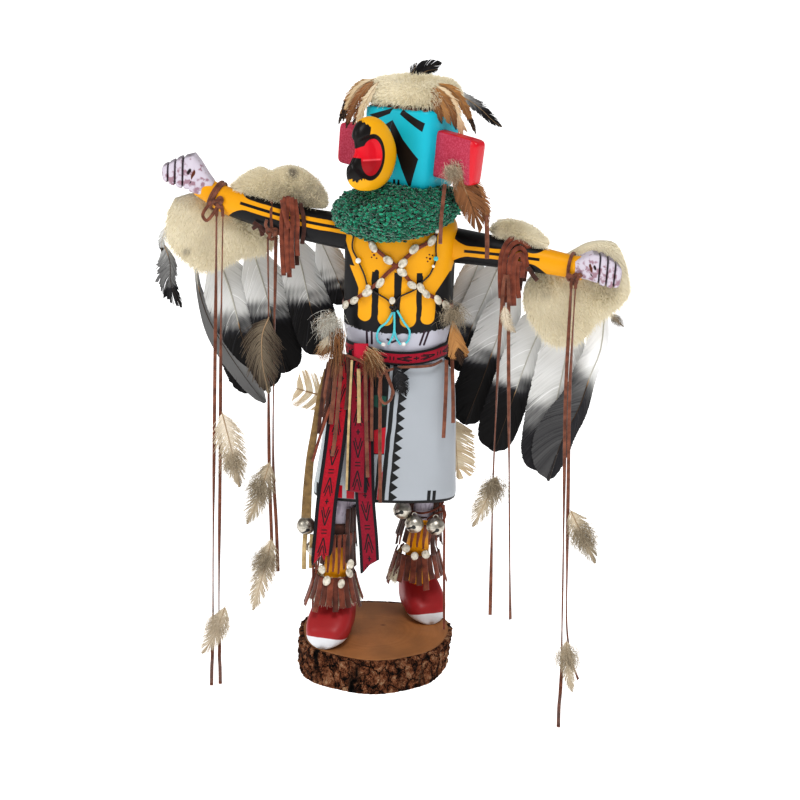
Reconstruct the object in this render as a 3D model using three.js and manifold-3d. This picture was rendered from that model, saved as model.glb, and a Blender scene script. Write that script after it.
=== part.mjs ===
// A carved and painted kachina doll with feather wings, standing on a slice of a log.
// Millimetres, +Z up. The doll faces -Y and its own left is +X. The origin is on the underside of the slice.
import * as THREE from "three";
import { mergeVertices } from "three/addons/utils/BufferGeometryUtils.js";
import Module from "manifold-3d";

const wasm = await Module();
wasm.setup();

// Driving dimensions
const GAP = 0.3; // between pieces that touch
const SLIVER = 0.05;
const BASE = { width: 147, depth: 161, height: 34, x: -1, y: 6, sides: 30 };
const HEM_Z = 176;
const WAIST_Z = 312;
const BELT = { low: 311.5, high: 325.5, thick: 2 };
const NECK = { x: 15, y: 2, radius: 20, top: 476.2 };
const HEAD = { x: 23.3, y: 0.4, low: 476.5, high: 550, halfWidth: 37.7, halfDepth: 30, yaw: -36, sides: 24 };
const BEAK = { thick: 22, long: 68, high: 75, z: 513, reach: 33 };
const RUFF = { x: 10, y: -8, z: 457, rx: 59, ry: 55, rz: 30, tilt: 7 };
const LACE = 3.4; // width of a suede lace
const LACE_STEP = 36;
const BELL = 18.5;

const PAINT = {
  pine: ["#b98552", 0.75, 0],
  turquoise: ["#2cbfd0", 0.4, 0],
  yellow: ["#f0a71e", 0.45, 0],
  white: ["#d9dbe0", 0.5, 0],
  black: ["#1c1c1f", 0.45, 0],
  red: ["#c9213f", 0.45, 0],
  green: ["#12715a", 0.95, 0],
  fur: ["#d8cfae", 0.95, 0],
  greyFur: ["#c2bda6", 0.95, 0],
  feather: ["#8f9197", 0.7, 0],
  tanFeather: ["#b58e63", 0.8, 0],
  darkFeather: ["#2a2c2d", 0.6, 0],
  suede: ["#7b4634", 0.9, 0],
  bell: ["#9b988e", 0.35, 1],
};

const rad = THREE.MathUtils.degToRad;
const vec = (p) => new THREE.Vector3(...p);

function paint(name) {
  const [color, roughness, metalness] = PAINT[name];
  return new THREE.MeshStandardMaterial({ color, roughness, metalness });
}

// Turns the triangles round if they face inwards.
function facingOut(geometry) {
  const at = geometry.attributes.position;
  const index = geometry.index.array;
  const [a, b, c] = [vec([0, 0, 0]), vec([0, 0, 0]), vec([0, 0, 0])];
  let volume = 0;
  for (let i = 0; i < index.length; i += 3) {
    a.fromBufferAttribute(at, index[i]);
    b.fromBufferAttribute(at, index[i + 1]);
    c.fromBufferAttribute(at, index[i + 2]);
    volume += a.dot(b.cross(c));
  }
  if (volume < 0)
    for (let i = 0; i < index.length; i += 3) [index[i + 1], index[i + 2]] = [index[i + 2], index[i + 1]];
  return geometry;
}

// A closed skin over rings of equally many points, with a flat fan at each end.
function loft(rings) {
  const n = rings[0].length;
  const points = rings.flat();
  const index = [];
  for (let i = 0; i + 1 < rings.length; i++)
    for (let j = 0; j < n; j++) {
      const k = (j + 1) % n;
      index.push(i * n + j, i * n + k, (i + 1) * n + j);
      index.push((i + 1) * n + j, i * n + k, (i + 1) * n + k);
    }
  const last = (rings.length - 1) * n;
  for (let j = 1; j + 1 < n; j++) {
    index.push(0, j + 1, j);
    index.push(last, last + j, last + j + 1);
  }
  const geometry = new THREE.BufferGeometry().setFromPoints(points);
  geometry.setIndex(index);
  return facingOut(geometry);
}

// Points of a superellipse round the origin: power 2 is an ellipse, and more is squarer.
function roundedOutline(halfWidth, halfDepth, power, sides) {
  return Array.from({ length: sides }, (_, i) => {
    const t = (2 * Math.PI * (i + 0.5)) / sides;
    const [c, s] = [Math.cos(t), Math.sin(t)];
    const x = halfWidth * Math.sign(c) * Math.abs(c) ** (2 / power);
    const y = halfDepth * Math.sign(s) * Math.abs(s) ** (2 / power);
    return [x, y];
  });
}

// A stack of level sections [z, x, y, halfWidth, halfDepth].
function stack(sections, power, sides, grow = 0) {
  return loft(
    sections.map(([z, x, y, halfWidth, halfDepth]) =>
      roundedOutline(halfWidth + grow, halfDepth + grow, power, sides).map(([u, v]) => vec([x + u, y + v, z])),
    ),
  );
}

// A limb along a bent line. Each station is [x, y, z, radius] or [x, y, z, radius, depth radius].
function limb(stations, sides, grow = 0) {
  const centres = stations.map(([x, y, z]) => vec([x, y, z]));
  return loft(
    stations.map(([, , , radius, deep = radius], i) => {
      const ahead = centres[Math.min(i + 1, centres.length - 1)];
      const behind = centres[Math.max(i - 1, 0)];
      const along = ahead.clone().sub(behind).normalize();
      const across = vec([0, 1, 0]).cross(along).normalize();
      const back = along.clone().cross(across);
      return roundedOutline(radius + grow, deep + grow, 2.3, sides).map(([u, v]) =>
        centres[i].clone().addScaledVector(across, u).addScaledVector(back, v),
      );
    }),
  );
}

function solid(geometry) {
  const bare = geometry.index ? geometry.toNonIndexed() : geometry.clone();
  for (const name of Object.keys(bare.attributes)) if (name !== "position") bare.deleteAttribute(name);
  const merged = mergeVertices(bare, 1e-3);
  return new wasm.Manifold(
    new wasm.Mesh({
      numProp: 3,
      vertProperties: merged.attributes.position.array,
      triVerts: new Uint32Array(merged.index.array),
    }),
  );
}

// The largest body of a solid, without the slivers that a cut leaves.
function fromSolid(made) {
  const largest = made.decompose().sort((a, b) => b.volume() - a.volume())[0].simplify(SLIVER);
  const { vertProperties, triVerts } = largest.getMesh();
  const geometry = new THREE.BufferGeometry();
  geometry.setAttribute("position", new THREE.Float32BufferAttribute(vertProperties, 3));
  geometry.setIndex(Array.from(triVerts));
  return geometry;
}

const join = (...parts) => fromSolid(parts.map(solid).reduce((a, b) => a.add(b)));
const cut = (part, ...tools) => fromSolid(tools.map(solid).reduce((a, b) => a.subtract(b), solid(part)));

const doll = new THREE.Group();

function piece(name, geometry, colour, parent = doll) {
  const mesh = new THREE.Mesh(geometry, paint(colour));
  mesh.name = name;
  parent.add(mesh);
  return mesh;
}

// The slice of a log: an uneven oval that is wider behind the doll's left foot.
function woodBase() {
  const ring = (z, scale) =>
    Array.from({ length: BASE.sides }, (_, i) => {
      const t = (2 * Math.PI * i) / BASE.sides;
      const wave = 1 + 0.012 * Math.sin(3 * t + 0.4) + 0.01 * Math.sin(7 * t);
      const bulge = 0.08 * Math.exp(-(((t - 0.95) / 0.22) ** 2)) + 0.05 * Math.exp(-(((t - 3.7) / 0.4) ** 2));
      const r = scale * (wave + bulge);
      return vec([BASE.x + (BASE.width / 2) * r * Math.cos(t), BASE.y + (BASE.depth / 2) * r * Math.sin(t), z]);
    });
  const under = ring(0, 0.965).map((p) => p.setX(p.x - 3));
  return loft([under, ring(5, 0.99), ring(BASE.height - 4, 1), ring(BASE.height, 0.985)]);
}

// A moccasin on a thick white sole, from its toe point, heading and length.
function moccasin(toeX, toeY, heading, length, width) {
  const floor = BASE.height + GAP;
  const sections = [
    // share of the length from the toe, share of the width, height
    [0, 0.42, 14],
    [0.04, 0.62, 17],
    [0.14, 0.87, 23],
    [0.32, 1, 33],
    [0.55, 0.93, 46],
    [0.8, 0.8, 52],
    [0.95, 0.62, 52],
    [1, 0.42, 50],
  ];
  const shape = loft(
    sections.map(([share, wide, high]) =>
      roundedOutline((width * wide) / 2, high / 2, 3, 12).map(([u, v]) =>
        vec([u, share * length, floor + high / 2 + v]),
      ),
    ),
  );
  return shape.applyMatrix4(
    new THREE.Matrix4().makeRotationZ(rad(heading)).setPosition(toeX, toeY, 0),
  );
}

const RIGHT_LEG = [
  [-36, -2, 190, 15],
  [-38, -8, 150, 13.5],
  [-40.5, -13, 128, 12.5],
  [-41.5, -14, 100, 11],
  [-42, -12, 74, 12],
];
const LEFT_LEG = [
  [44, 12, 190, 16],
  [42.5, 22, 150, 14.5],
  [39, 32, 128, 12.5],
  [38.5, 42, 100, 11],
  [41, 50, 74, 12],
];

const TORSO = [
  [WAIST_Z - 6, 13, 1, 45, 27],
  [WAIST_Z + 12, 13, 1, 45.5, 27],
  [345, 13, 0, 50, 29],
  [370, 13.6, 0, 51.2, 31],
  [405, 14, 0, 51.5, 32],
  [430, 15, 0, 52.5, 32],
  [444, 15.3, 1, 50, 29],
  [453, 15.5, 1, 40, 24],
  [459, 15.5, 2, 23, 21],
];

const KILT = [
  [HEM_Z, 4.5, 6, 68.5, 34.5],
  [220, 7, 6, 65, 34],
  [262, 9.3, 5, 61.5, 33],
  [290, 11.5, 3, 57, 31.5],
  [303, 12.5, 2, 51, 29.5],
  [WAIST_Z - 1, 13, 1, 45.5, 27.5],
];

// Torso, neck, kilt, legs and moccasins are one carving.
function carvedBody(grow = 0) {
  const torso = stack(TORSO, 2.8, 22, grow);
  const kilt = stack(KILT, 3, 22, grow);
  const neck = stack(
    [
      [440, NECK.x, NECK.y, NECK.radius, NECK.radius],
      [NECK.top, NECK.x, NECK.y, NECK.radius, NECK.radius],
    ],
    2,
    16,
    grow,
  );
  const legs = [limb(RIGHT_LEG, 10, grow), limb(LEFT_LEG, 10, grow)];
  const shoes = [moccasin(-48.2, -49.5, -14, 66, 41), moccasin(47, 22, 7, 62, 40)];
  return join(torso, kilt, neck, ...legs, ...shoes);
}

// Arm stations from inside the shoulder out to the knuckles.
const RIGHT_ARM = [
  [-22, 2, 430, 17],
  [-38, 5, 431, 16.5],
  [-81, 17, 436, 15],
  [-129, 30, 446.5, 14],
  [-156, 38, 454, 12.5],
  [-168, 41, 460, 10.5],
  [-176, 43, 466, 14, 12],
  [-187, 46, 474, 17, 13],
  [-199, 50, 479.5, 17, 13],
  [-207, 52, 482, 13, 10],
];
const LEFT_ARM = [
  [54, 0, 422, 17],
  [70, -3, 421, 16],
  [107, -14, 418, 14],
  [134, -22, 415, 12.5],
  [159, -30, 412, 11],
  [175, -36, 410, 10.5],
  [181, -38, 410, 14, 12],
  [196, -42, 411, 17, 14],
  [208, -46, 410, 17, 14],
  [216, -48, 409, 13, 10],
];

// The mask block leans in a little towards its lower edge.
const HEAD_SECTIONS = [
  [HEAD.low, 0, 0, HEAD.halfWidth - 8, HEAD.halfDepth - 5],
  [HEAD.low + 4, 0, 0, HEAD.halfWidth - 5, HEAD.halfDepth - 2.5],
  [HEAD.high - 22, 0, 0, HEAD.halfWidth, HEAD.halfDepth],
  [HEAD.high - 5, 0, 0, HEAD.halfWidth + 0.5, HEAD.halfDepth + 0.5],
  [HEAD.high, 0, 0, HEAD.halfWidth - 3, HEAD.halfDepth - 3],
];

// A block that sticks out along X from the side of the mask, rounded at its free end.
function earBlock(side, out, z) {
  const root = HEAD.halfWidth;
  const sections = [
    [root - 5, 17, 41],
    [root + out - 6, 17, 35],
    [root + out - 2, 15, 32],
    [root + out, 10, 27],
  ];
  return loft(
    sections.map(([x, thick, high]) =>
      roundedOutline(thick / 2, high / 2, 4, 12).map(([u, v]) => vec([side * x, -7 + u, z + v])),
    ),
  );
}

// The beak is a flat upright disc with rounded faces that stands out from the middle of the mask.
function beakDisc(grow = 0) {
  const disc = new THREE.SphereGeometry(1, 16, 12);
  disc.scale(BEAK.thick / 2 + grow, BEAK.long / 2 + grow, BEAK.high / 2 + grow);
  disc.translate(0, -HEAD.halfDepth - BEAK.reach, BEAK.z);
  return disc;
}

// The mouth is a wedge, open at the tip of the beak.
function mouth() {
  const tip = -HEAD.halfDepth - BEAK.reach - BEAK.long / 2;
  const wedge = [
    [tip - 5, 6],
    [tip + 10, 4.5],
    [tip + 30, 0.5],
  ];
  return loft(
    wedge.map(([y, half]) => [
      vec([-BEAK.thick, y, BEAK.z + 4 - half]),
      vec([BEAK.thick, y, BEAK.z + 4 - half]),
      vec([BEAK.thick, y, BEAK.z + 4 + half]),
      vec([-BEAK.thick, y, BEAK.z + 4 + half]),
    ]),
  );
}

// A furry pad: an outline in the X-Z plane, thick in the middle, that follows the slope of the arm behind it.
function furPad(outline, thick, depthAt) {
  const curve = new THREE.CatmullRomCurve3(outline.map(([x, z]) => vec([x, 0, z])), true);
  const ring = curve.getPoints(20).slice(0, 20);
  const centre = ring.reduce((sum, p) => sum.add(p), vec([0, 0, 0])).divideScalar(ring.length);
  const layers = [
    [-1, 0.62],
    [-0.7, 0.9],
    [0, 1],
    [0.7, 0.9],
    [1, 0.62],
  ];
  return loft(
    layers.map(([level, scale]) =>
      ring.map((p) => {
        const q = p.clone().sub(centre).multiplyScalar(scale).add(centre);
        q.y = depthAt(q.x) + (level * thick) / 2;
        return q;
      }),
    ),
  );
}

// A feather: a thin vane along a curve in the X-Z plane, thickest at its shaft.
function feather(points, width, thick = 1.6) {
  const curve = new THREE.CatmullRomCurve3(points.map(vec));
  const shares = [0, 0.12, 0.3, 0.5, 0.68, 0.82, 0.93, 1];
  const widths = [0.16, 0.62, 0.95, 1, 0.95, 0.78, 0.48, 0.1];
  return loft(
    shares.map((share, i) => {
      const at = curve.getPointAt(share);
      const along = curve.getTangentAt(share);
      const across = along.clone().cross(vec([0, 1, 0])).normalize();
      const half = (width * widths[i]) / 2;
      const side = (u, y) => at.clone().addScaledVector(across, u).add(vec([0, y, 0]));
      return [side(-half, 0), side(0, -thick / 2), side(half, 0), side(0, thick / 2)];
    }),
  );
}

// A suede lace along a route of hand-placed points.
function lace(route) {
  const curve = new THREE.CatmullRomCurve3(route.map(vec), false, "centripetal");
  const section = new THREE.Shape(
    Array.from({ length: 8 }, (_, i) => {
      const t = (2 * Math.PI * i) / 8;
      return new THREE.Vector2((LACE / 2) * Math.cos(t), (LACE / 2) * Math.sin(t));
    }),
  );
  return new THREE.ExtrudeGeometry(section, {
    steps: Math.round(curve.getLength() / LACE_STEP),
    bevelEnabled: false,
    extrudePath: curve,
  });
}

// A flat strip that hangs from [x, y, z] points, front face to -Y.
function strip(points, width, thick) {
  return loft(
    points.map(([x, y, z, scale = 1]) => {
      const [w, t] = [(width * scale) / 2, thick / 2];
      return [vec([x - w, y - t, z]), vec([x + w, y - t, z]), vec([x + w, y + t, z]), vec([x - w, y + t, z])];
    }),
  );
}

// A flared ring round a leg: stations of the leg with an outer radius, less the leg itself.
function cuff(stations, leg, ...others) {
  return cut(limb(stations, 12), limb(leg, 10, GAP), ...others);
}

const slope = (x, from, to) => from[1] + ((x - from[0]) * (to[1] - from[1])) / (to[0] - from[0]);
const behindRightArm = (offset) => (x) => slope(x, [-38, 5], [-206, 51]) + offset;
const behindLeftArm = (offset) => (x) => slope(x, [70, -3], [208, -46]) + offset;

// Base and carving
piece("wood_base", woodBase(), "pine");
piece("carved_body", carvedBody(), "white");
const bodyRoom = carvedBody(GAP);
piece("right_arm", cut(limb(RIGHT_ARM, 12), bodyRoom), "black");
piece("left_arm", cut(limb(LEFT_ARM, 12), bodyRoom), "black");
const rightArmRoom = limb(RIGHT_ARM, 12, GAP);
const leftArmRoom = limb(LEFT_ARM, 12, GAP);

// Head, in its own turned frame
const head = new THREE.Group();
head.position.set(HEAD.x, HEAD.y, 0);
head.rotation.z = rad(HEAD.yaw);
doll.add(head);
head.updateMatrixWorld(true);
const placed = (geometry) => geometry.clone().applyMatrix4(head.matrixWorld);

const headRoom = stack(HEAD_SECTIONS, 6, HEAD.sides, GAP);
piece("head", stack(HEAD_SECTIONS, 6, HEAD.sides), "turquoise", head);
piece("beak", cut(beakDisc(), headRoom, mouth()), "yellow", head);
piece("right_ear", cut(earBlock(-1, 38, 510), headRoom), "red", head);
piece("left_ear", cut(earBlock(1, 41, 509), headRoom), "red", head);

const ruffShape = new THREE.SphereGeometry(1, 18, 9);
ruffShape.rotateX(Math.PI / 2);
ruffShape.scale(RUFF.rx, RUFF.ry, RUFF.rz);
ruffShape.rotateY(rad(RUFF.tilt));
ruffShape.translate(RUFF.x, RUFF.y, RUFF.z);
const ruffCutters = [placed(headRoom), placed(beakDisc(GAP)), bodyRoom, rightArmRoom, leftArmRoom];
piece("yarn_ruff", cut(ruffShape, ...ruffCutters), "green");

// Fur and feathers on the head
const FUR_PAD = [
  [HEAD.high + GAP, 0, 0, 37, 30],
  [HEAD.high + 7, 0, 0, 42, 35],
  [HEAD.high + 18, 0, 0, 40, 33],
  [HEAD.high + 27, 0, 0, 28, 22],
];
piece("head_fur", stack(FUR_PAD, 3.5, 20), "fur", head);
const CROWN_Z = HEAD.high + 27 + GAP;
const headFeathers = {
  crown_feather: [[[24, 12, CROWN_Z + 3], [36, 12, CROWN_Z + 7], [46, 12, CROWN_Z + 12]], 11, "darkFeather"],
  right_head_feathers: [[[-14, -32, 578], [-25, -33, 568], [-35, -32, 552], [-39, -31, 532]], 16, "tanFeather"],
  left_head_feathers: [[[42, -44, 574], [54, -44, 566], [62, -42, 550], [67, -40, 530]], 18, "tanFeather"],
  dark_head_feather: [[[81, 16, 548], [91, 14, 540], [102, 12, 531]], 8, "darkFeather"],
};
for (const [name, [points, width, colour]] of Object.entries(headFeathers))
  piece(name, feather(points, width), colour);

// Fur on the arms: a strip over each upper arm, and a larger piece round each forearm and hand
const rightWingFur = [[-208, 452], [-216, 432], [-214, 404], [-199, 387], [-170, 388], [-140, 394], [-110, 402],
  [-100, 420], [-130, 438], [-160, 447], [-185, 458]];
const rightArmFur = [[-150, 466], [-136, 480], [-116, 488], [-92, 491], [-72, 483], [-54, 466], [-52, 450],
  [-80, 450], [-115, 452], [-140, 458]];
const leftWingFur = [[172, 424], [187, 434], [203, 438], [217, 434], [230, 400], [228, 384], [213, 366], [195, 352],
  [186, 336], [160, 330], [144, 340], [128, 366], [130, 390], [150, 408]];
const leftArmFur = [[92, 438], [106, 449], [122, 450], [140, 443], [154, 428], [140, 424], [110, 428]];
const furs = {
  right_wing_fur: [rightWingFur, 24, behindRightArm(15), rightArmRoom, "fur"],
  right_arm_fur: [rightArmFur, 26, behindRightArm(4), rightArmRoom, "greyFur"],
  left_wing_fur: [leftWingFur, 24, behindLeftArm(17), leftArmRoom, "fur"],
  left_arm_fur: [leftArmFur, 22, behindLeftArm(4), leftArmRoom, "fur"],
};
const furGeometry = {};
for (const [name, [outline, thick, depthAt, arm, colour]] of Object.entries(furs)) {
  furGeometry[name] = cut(furPad(outline, thick, depthAt), arm);
  piece(name, furGeometry[name], colour);
}

// Wing feathers, root to tip in X and Z, each a layer further back than the last
const WING_LAYER = 2.8;
const rightWing = [
  [[[-190, 400], [-178, 345], [-154, 299], [-117, 250]], 26],
  [[[-162, 402], [-147, 360], [-132, 312], [-116, 268]], 34],
  [[[-132, 412], [-117, 365], [-104, 324], [-96, 280]], 36],
  [[[-96, 420], [-80, 378], [-68, 340], [-61, 303]], 36],
  [[[-66, 420], [-54, 395], [-44, 373], [-37, 353]], 28],
];
const leftWing = [
  [[[205, 378], [200, 330], [184, 268], [165, 193]], 30],
  [[[172, 368], [168, 310], [164, 258], [160, 198]], 34],
  [[[163, 374], [142, 324], [125, 268], [110, 216]], 35],
  [[[128, 385], [111, 335], [96, 284], [81, 239]], 34],
  [[[112, 408], [97, 368], [83, 331], [74, 291]], 30],
  [[[94, 412], [78, 364], [70, 322], [73, 293]], 24],
];
function wing(side, feathers, depthAt) {
  feathers.forEach(([line, width], i) => {
    const points = line.map(([x, z]) => [x, depthAt(x) + i * WING_LAYER, z]);
    piece(`${side}_wing_feather_${i + 1}`, feather(points, width), "feather");
  });
}
wing("right", rightWing, behindRightArm(15 + 12 + 1.2));
wing("left", leftWing, behindLeftArm(17 + 12 + 1.2));
const curl = [[-212, 84, 404], [-209, 84, 383], [-213, 84, 359], [-209, 84, 336]];
piece("right_hand_feather", feather(curl, 17), "darkFeather");

// Suede fringe bundles over the upper arms
const rightBundle = [[-90, 2, 462, 0.5], [-90, -1, 446, 0.8], [-89, -1, 425], [-89, 0, 405, 1.1], [-91, 1, 388, 0.7]];
const leftBundle = [[122, -22, 436, 0.6], [118, -36, 428], [113, -38, 410, 1.1], [111, -37, 390, 0.9],
  [111, -36, 371, 0.6]];
piece("right_arm_fringe", cut(strip(rightBundle, 27, 8), rightArmRoom, furGeometry.right_arm_fur), "suede");
piece("left_arm_fringe", cut(strip(leftBundle, 32, 8), leftArmRoom, furGeometry.left_arm_fur), "suede");

// Long laces: the wrist ones reach the ground and run on along it
const LACES = {
  right_wrist_lace_1: [[-159.5, 22, 440], [-160, 22, 380], [-161, 22, 300], [-162, 22, 200], [-163, 22, 90],
    [-163, 21, 30], [-163, 16, 9], [-162, 4, 2], [-160, -22, 2], [-156, -66, 2]],
  right_wrist_lace_2: [[-153.5, 22, 440], [-154.5, 22, 380], [-155.5, 22, 300], [-156, 22, 200], [-157, 22, 90],
    [-157, 21, 30], [-156, 16, 9], [-155, 4, 2], [-152, -22, 2], [-148, -62, 2]],
  right_forearm_lace_1: [[-110, 7, 422], [-109, 7, 360], [-108.5, 7, 290], [-108, 7, 240], [-107, 7, 190],
    [-105, 7, 140], [-103, 7, 92]],
  right_forearm_lace_2: [[-102.5, 7, 422], [-103, 7, 360], [-103.5, 7, 290], [-103.8, 7, 240], [-103, 7, 190],
    [-100, 7, 140], [-98, 7, 92]],
  left_forearm_lace_1: [[109, -45, 384], [107.5, -45, 340], [107, -45, 280], [106.5, -45, 210], [107.5, -45, 140],
    [108.5, -45, 72]],
  left_forearm_lace_2: [[114.5, -45, 384], [116, -45, 340], [119, -45, 270], [122, -45, 200], [125, -45, 130],
    [128, -45, 68]],
  left_wrist_lace_1: [[170.5, -55, 395], [170, -55, 350], [170, -55, 290], [172.5, -55, 210], [175, -55, 130],
    [177, -55, 60], [178, -58, 20], [177, -68, 3.5], [174, -95, 2], [170, -143, 2]],
  left_wrist_lace_2: [[174.3, -55, 395], [173.8, -55, 350], [173.8, -55, 290], [176.3, -55, 210], [178.8, -55, 130],
    [182, -55, 60], [188, -56, 30], [194.5, -57, 13]],
};
for (const [name, route] of Object.entries(LACES)) piece(name, lace(route), "suede");

// Belt and sashes
const beltRing = (grow) =>
  stack(
    [
      [BELT.low - grow, 13, 1, 45.5 + GAP + BELT.thick - grow, 27.5 + GAP + BELT.thick - grow],
      [BELT.high + grow, 13, 1, 45.5 + GAP + BELT.thick - grow, 27.5 + GAP + BELT.thick - grow],
    ],
    2.8,
    24,
  );
piece("belt", cut(beltRing(0), bodyRoom), "red");
const SASH = { width: 18.5, thick: 1.4 };
const rightSash = [[-34, -33.8, 321], [-35.5, -35.2, 303], [-39, -36.8, 265], [-43, -36.8, 225], [-48.5, -36.8, 180],
  [-52, -37, 140], [-54.5, -38, 108]];
const leftSash = [[-18, -31.8, 321], [-19.5, -33.2, 303], [-20, -34.8, 265], [-19, -34.8, 225], [-13.5, -34.8, 180],
  [-9.5, -35, 140], [-7.5, -36, 112]];
piece("right_sash", cut(strip(rightSash, SASH.width, SASH.thick), beltRing(-GAP), bodyRoom), "red");
piece("left_sash", cut(strip(leftSash, SASH.width, SASH.thick), beltRing(-GAP), bodyRoom), "red");

// Fringed cuffs and ankle fringes
const RIGHT_CUFFS = {
  right_knee_cuff: [[-40, -8, 174, 17], [-41, -12, 150, 17], [-41, -13, 118, 16]],
  right_ankle_fringe: [[-41, -13, 112, 14], [-42, -13, 96, 19], [-42, -14, 74, 25]],
};
const LEFT_CUFFS = {
  left_knee_cuff: [[43, 17, 172, 18], [42, 22, 150, 18], [39, 31, 124, 19]],
  left_ankle_fringe: [[38, 33, 119, 16], [38, 41, 100, 21], [38, 45, 82, 25]],
};
for (const [name, stations] of Object.entries(RIGHT_CUFFS))
  piece(name, cuff(stations, RIGHT_LEG, bodyRoom), "suede");
for (const [name, stations] of Object.entries(LEFT_CUFFS))
  piece(name, cuff(stations, LEFT_LEG, bodyRoom), "suede");

// Bells
const BELLS = {
  right_bell_1: [-70, -14, 147, BELL],
  right_bell_2: [-64, -14, 125, 13],
  left_bell_1: [22, -8, 163, BELL],
  left_bell_2: [34, -10, 150, BELL],
  left_bell_3: [54.5, -6, 147, BELL],
};
for (const [name, [x, y, z, diameter]] of Object.entries(BELLS)) {
  const ball = new THREE.SphereGeometry(diameter / 2, 9, 6);
  piece(name, ball, "bell").position.set(x, y, z);
}

// Two beige feathers behind the kilt
piece("right_tail_feather", feather([[-46, 46, 232], [-62, 48, 256], [-80, 50, 284]], 30), "tanFeather");
piece("left_tail_feather", feather([[74, 46, 240], [80, 47, 208], [84, 48, 178]], 18), "tanFeather");

export default doll;
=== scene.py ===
# %% [markdown]
# A carved and painted eagle dancer on a slice of a log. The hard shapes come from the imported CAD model, which sits
# still as the frame. This script builds what the eye sees round it: paint, fur, feathers, yarn, suede and shells.
# The unit in the code is the millimetre, because every measure of the doll is a few millimetres to half a metre, and
# one helper turns it into Blender's metres.

# %% Load the frame
import functools
import math

import bpy
import numpy as np
from mathutils import Matrix, Vector, noise


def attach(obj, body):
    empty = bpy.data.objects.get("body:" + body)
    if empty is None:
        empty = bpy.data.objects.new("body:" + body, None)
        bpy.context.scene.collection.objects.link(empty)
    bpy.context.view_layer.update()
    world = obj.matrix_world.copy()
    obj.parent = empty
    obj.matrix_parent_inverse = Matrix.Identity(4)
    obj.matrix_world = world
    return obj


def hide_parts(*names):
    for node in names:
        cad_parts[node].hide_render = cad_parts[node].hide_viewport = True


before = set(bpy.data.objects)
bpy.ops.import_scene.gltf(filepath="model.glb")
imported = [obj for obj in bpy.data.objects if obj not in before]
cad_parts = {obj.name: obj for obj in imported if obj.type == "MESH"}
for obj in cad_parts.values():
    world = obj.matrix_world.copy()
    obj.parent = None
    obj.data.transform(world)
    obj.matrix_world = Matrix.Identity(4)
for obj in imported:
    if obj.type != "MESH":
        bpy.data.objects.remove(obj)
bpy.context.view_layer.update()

MM = 0.001
rng = np.random.default_rng(11)

# %% [markdown]
# The camera looks at the chest from two metres away and 15 degrees above, and is rolled a little, so that the doll
# leans to the left of the picture as the real one does. A long 90 mm lens keeps the arms and the log free of
# wide-angle stretch. A camera's own axes are right, up and back, and those three directions are the columns of its
# matrix.

# %% Camera
ELEVATION, ROLL = math.radians(15), math.radians(1.4)
AIM, DISTANCE = np.array([17.32, 0, 270.38]), 1904.76
level_up = np.array([0, math.sin(ELEVATION), math.cos(ELEVATION)])
right = np.array([math.cos(ROLL), 0, 0]) + level_up * math.sin(ROLL)
up = np.array([-math.sin(ROLL), 0, 0]) + level_up * math.cos(ROLL)
back = np.array([0, -math.cos(ELEVATION), math.sin(ELEVATION)])
camera = bpy.data.objects.new("camera", bpy.data.cameras.new("camera"))
bpy.context.collection.objects.link(camera)
camera.data.lens = 90
camera.data.sensor_width = 36
camera.data.clip_end = 100
camera.matrix_world = Matrix.Translation((AIM + DISTANCE * back) * MM) @ Matrix([right, up, back]).transposed().to_4x4()
bpy.context.scene.camera = camera
print("camera at", [round(c) for c in AIM + DISTANCE * back])

# %% [markdown]
# The picture was taken in a soft white tent, so the light comes from everywhere with a gentle push from above. A white
# world, one large lamp above and in front, and a weaker one from the side give the same. The floor is a plain pale
# sheet that is large enough to fill the frame.

# %% Light and colour response
world = bpy.data.worlds.new("white_tent")
world.use_nodes = True
world.node_tree.nodes["Background"].inputs["Color"].default_value = (1, 1, 1, 1)
world.node_tree.nodes["Background"].inputs["Strength"].default_value = 0.5
bpy.context.scene.world = world
bpy.context.scene.view_settings.view_transform = "Standard"
bpy.context.scene.view_settings.look = "Medium High Contrast"
bpy.context.scene.view_settings.exposure = -0.4


def lamp(name, place, aim, size, power):
    light = bpy.data.objects.new(name, bpy.data.lights.new(name, "AREA"))
    light.data.shape = "DISK"
    light.data.size = size
    light.data.energy = power
    light.location = place
    light.rotation_euler = (Vector(aim) - Vector(place)).to_track_quat("-Z", "Y").to_euler()
    bpy.context.collection.objects.link(light)


lamp("key", (0.3, -1.5, 2.4), (0, 0, 0.3), 1.0, 36)
lamp("side", (-1.9, -0.9, 1.3), (0, 0, 0.3), 0.9, 12)
print("world strength", world.node_tree.nodes["Background"].inputs["Strength"].default_value)

# %% [markdown]
# Paint and fibre are made with shader nodes. Written out by hand, a pattern of stripes takes dozens of Math nodes, so
# this cell wraps a socket in a small class: adding or multiplying two of them adds the Math node. The signs differ
# only in the node's operation, so one loop makes them all.

# %% Shader arithmetic
class Value:
    """A shader output that can be added, multiplied and so on."""

    def __init__(self, finish, socket):
        self.finish = finish
        self.socket = socket

    def __abs__(self):
        return self.finish.math("ABSOLUTE", self)

    def __rsub__(self, other):
        return self.finish.math("SUBTRACT", other, self)


def math_sign(operation):
    return lambda self, other: self.finish.math(operation, self, other)


SIGNS = {"add": "ADD", "radd": "ADD", "sub": "SUBTRACT", "mul": "MULTIPLY", "rmul": "MULTIPLY", "or": "MAXIMUM",
         "and": "MINIMUM"}
for sign, operation in SIGNS.items():
    setattr(Value, f"__{sign}__", math_sign(operation))


def linear(colour):
    """A #rrggbb colour as the light values that shaders use."""
    parts = [int(colour[i : i + 2], 16) / 255 for i in (1, 3, 5)]
    return (*[p / 12.92 if p <= 0.04045 else ((p + 0.055) / 1.055) ** 2.4 for p in parts], 1)


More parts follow.
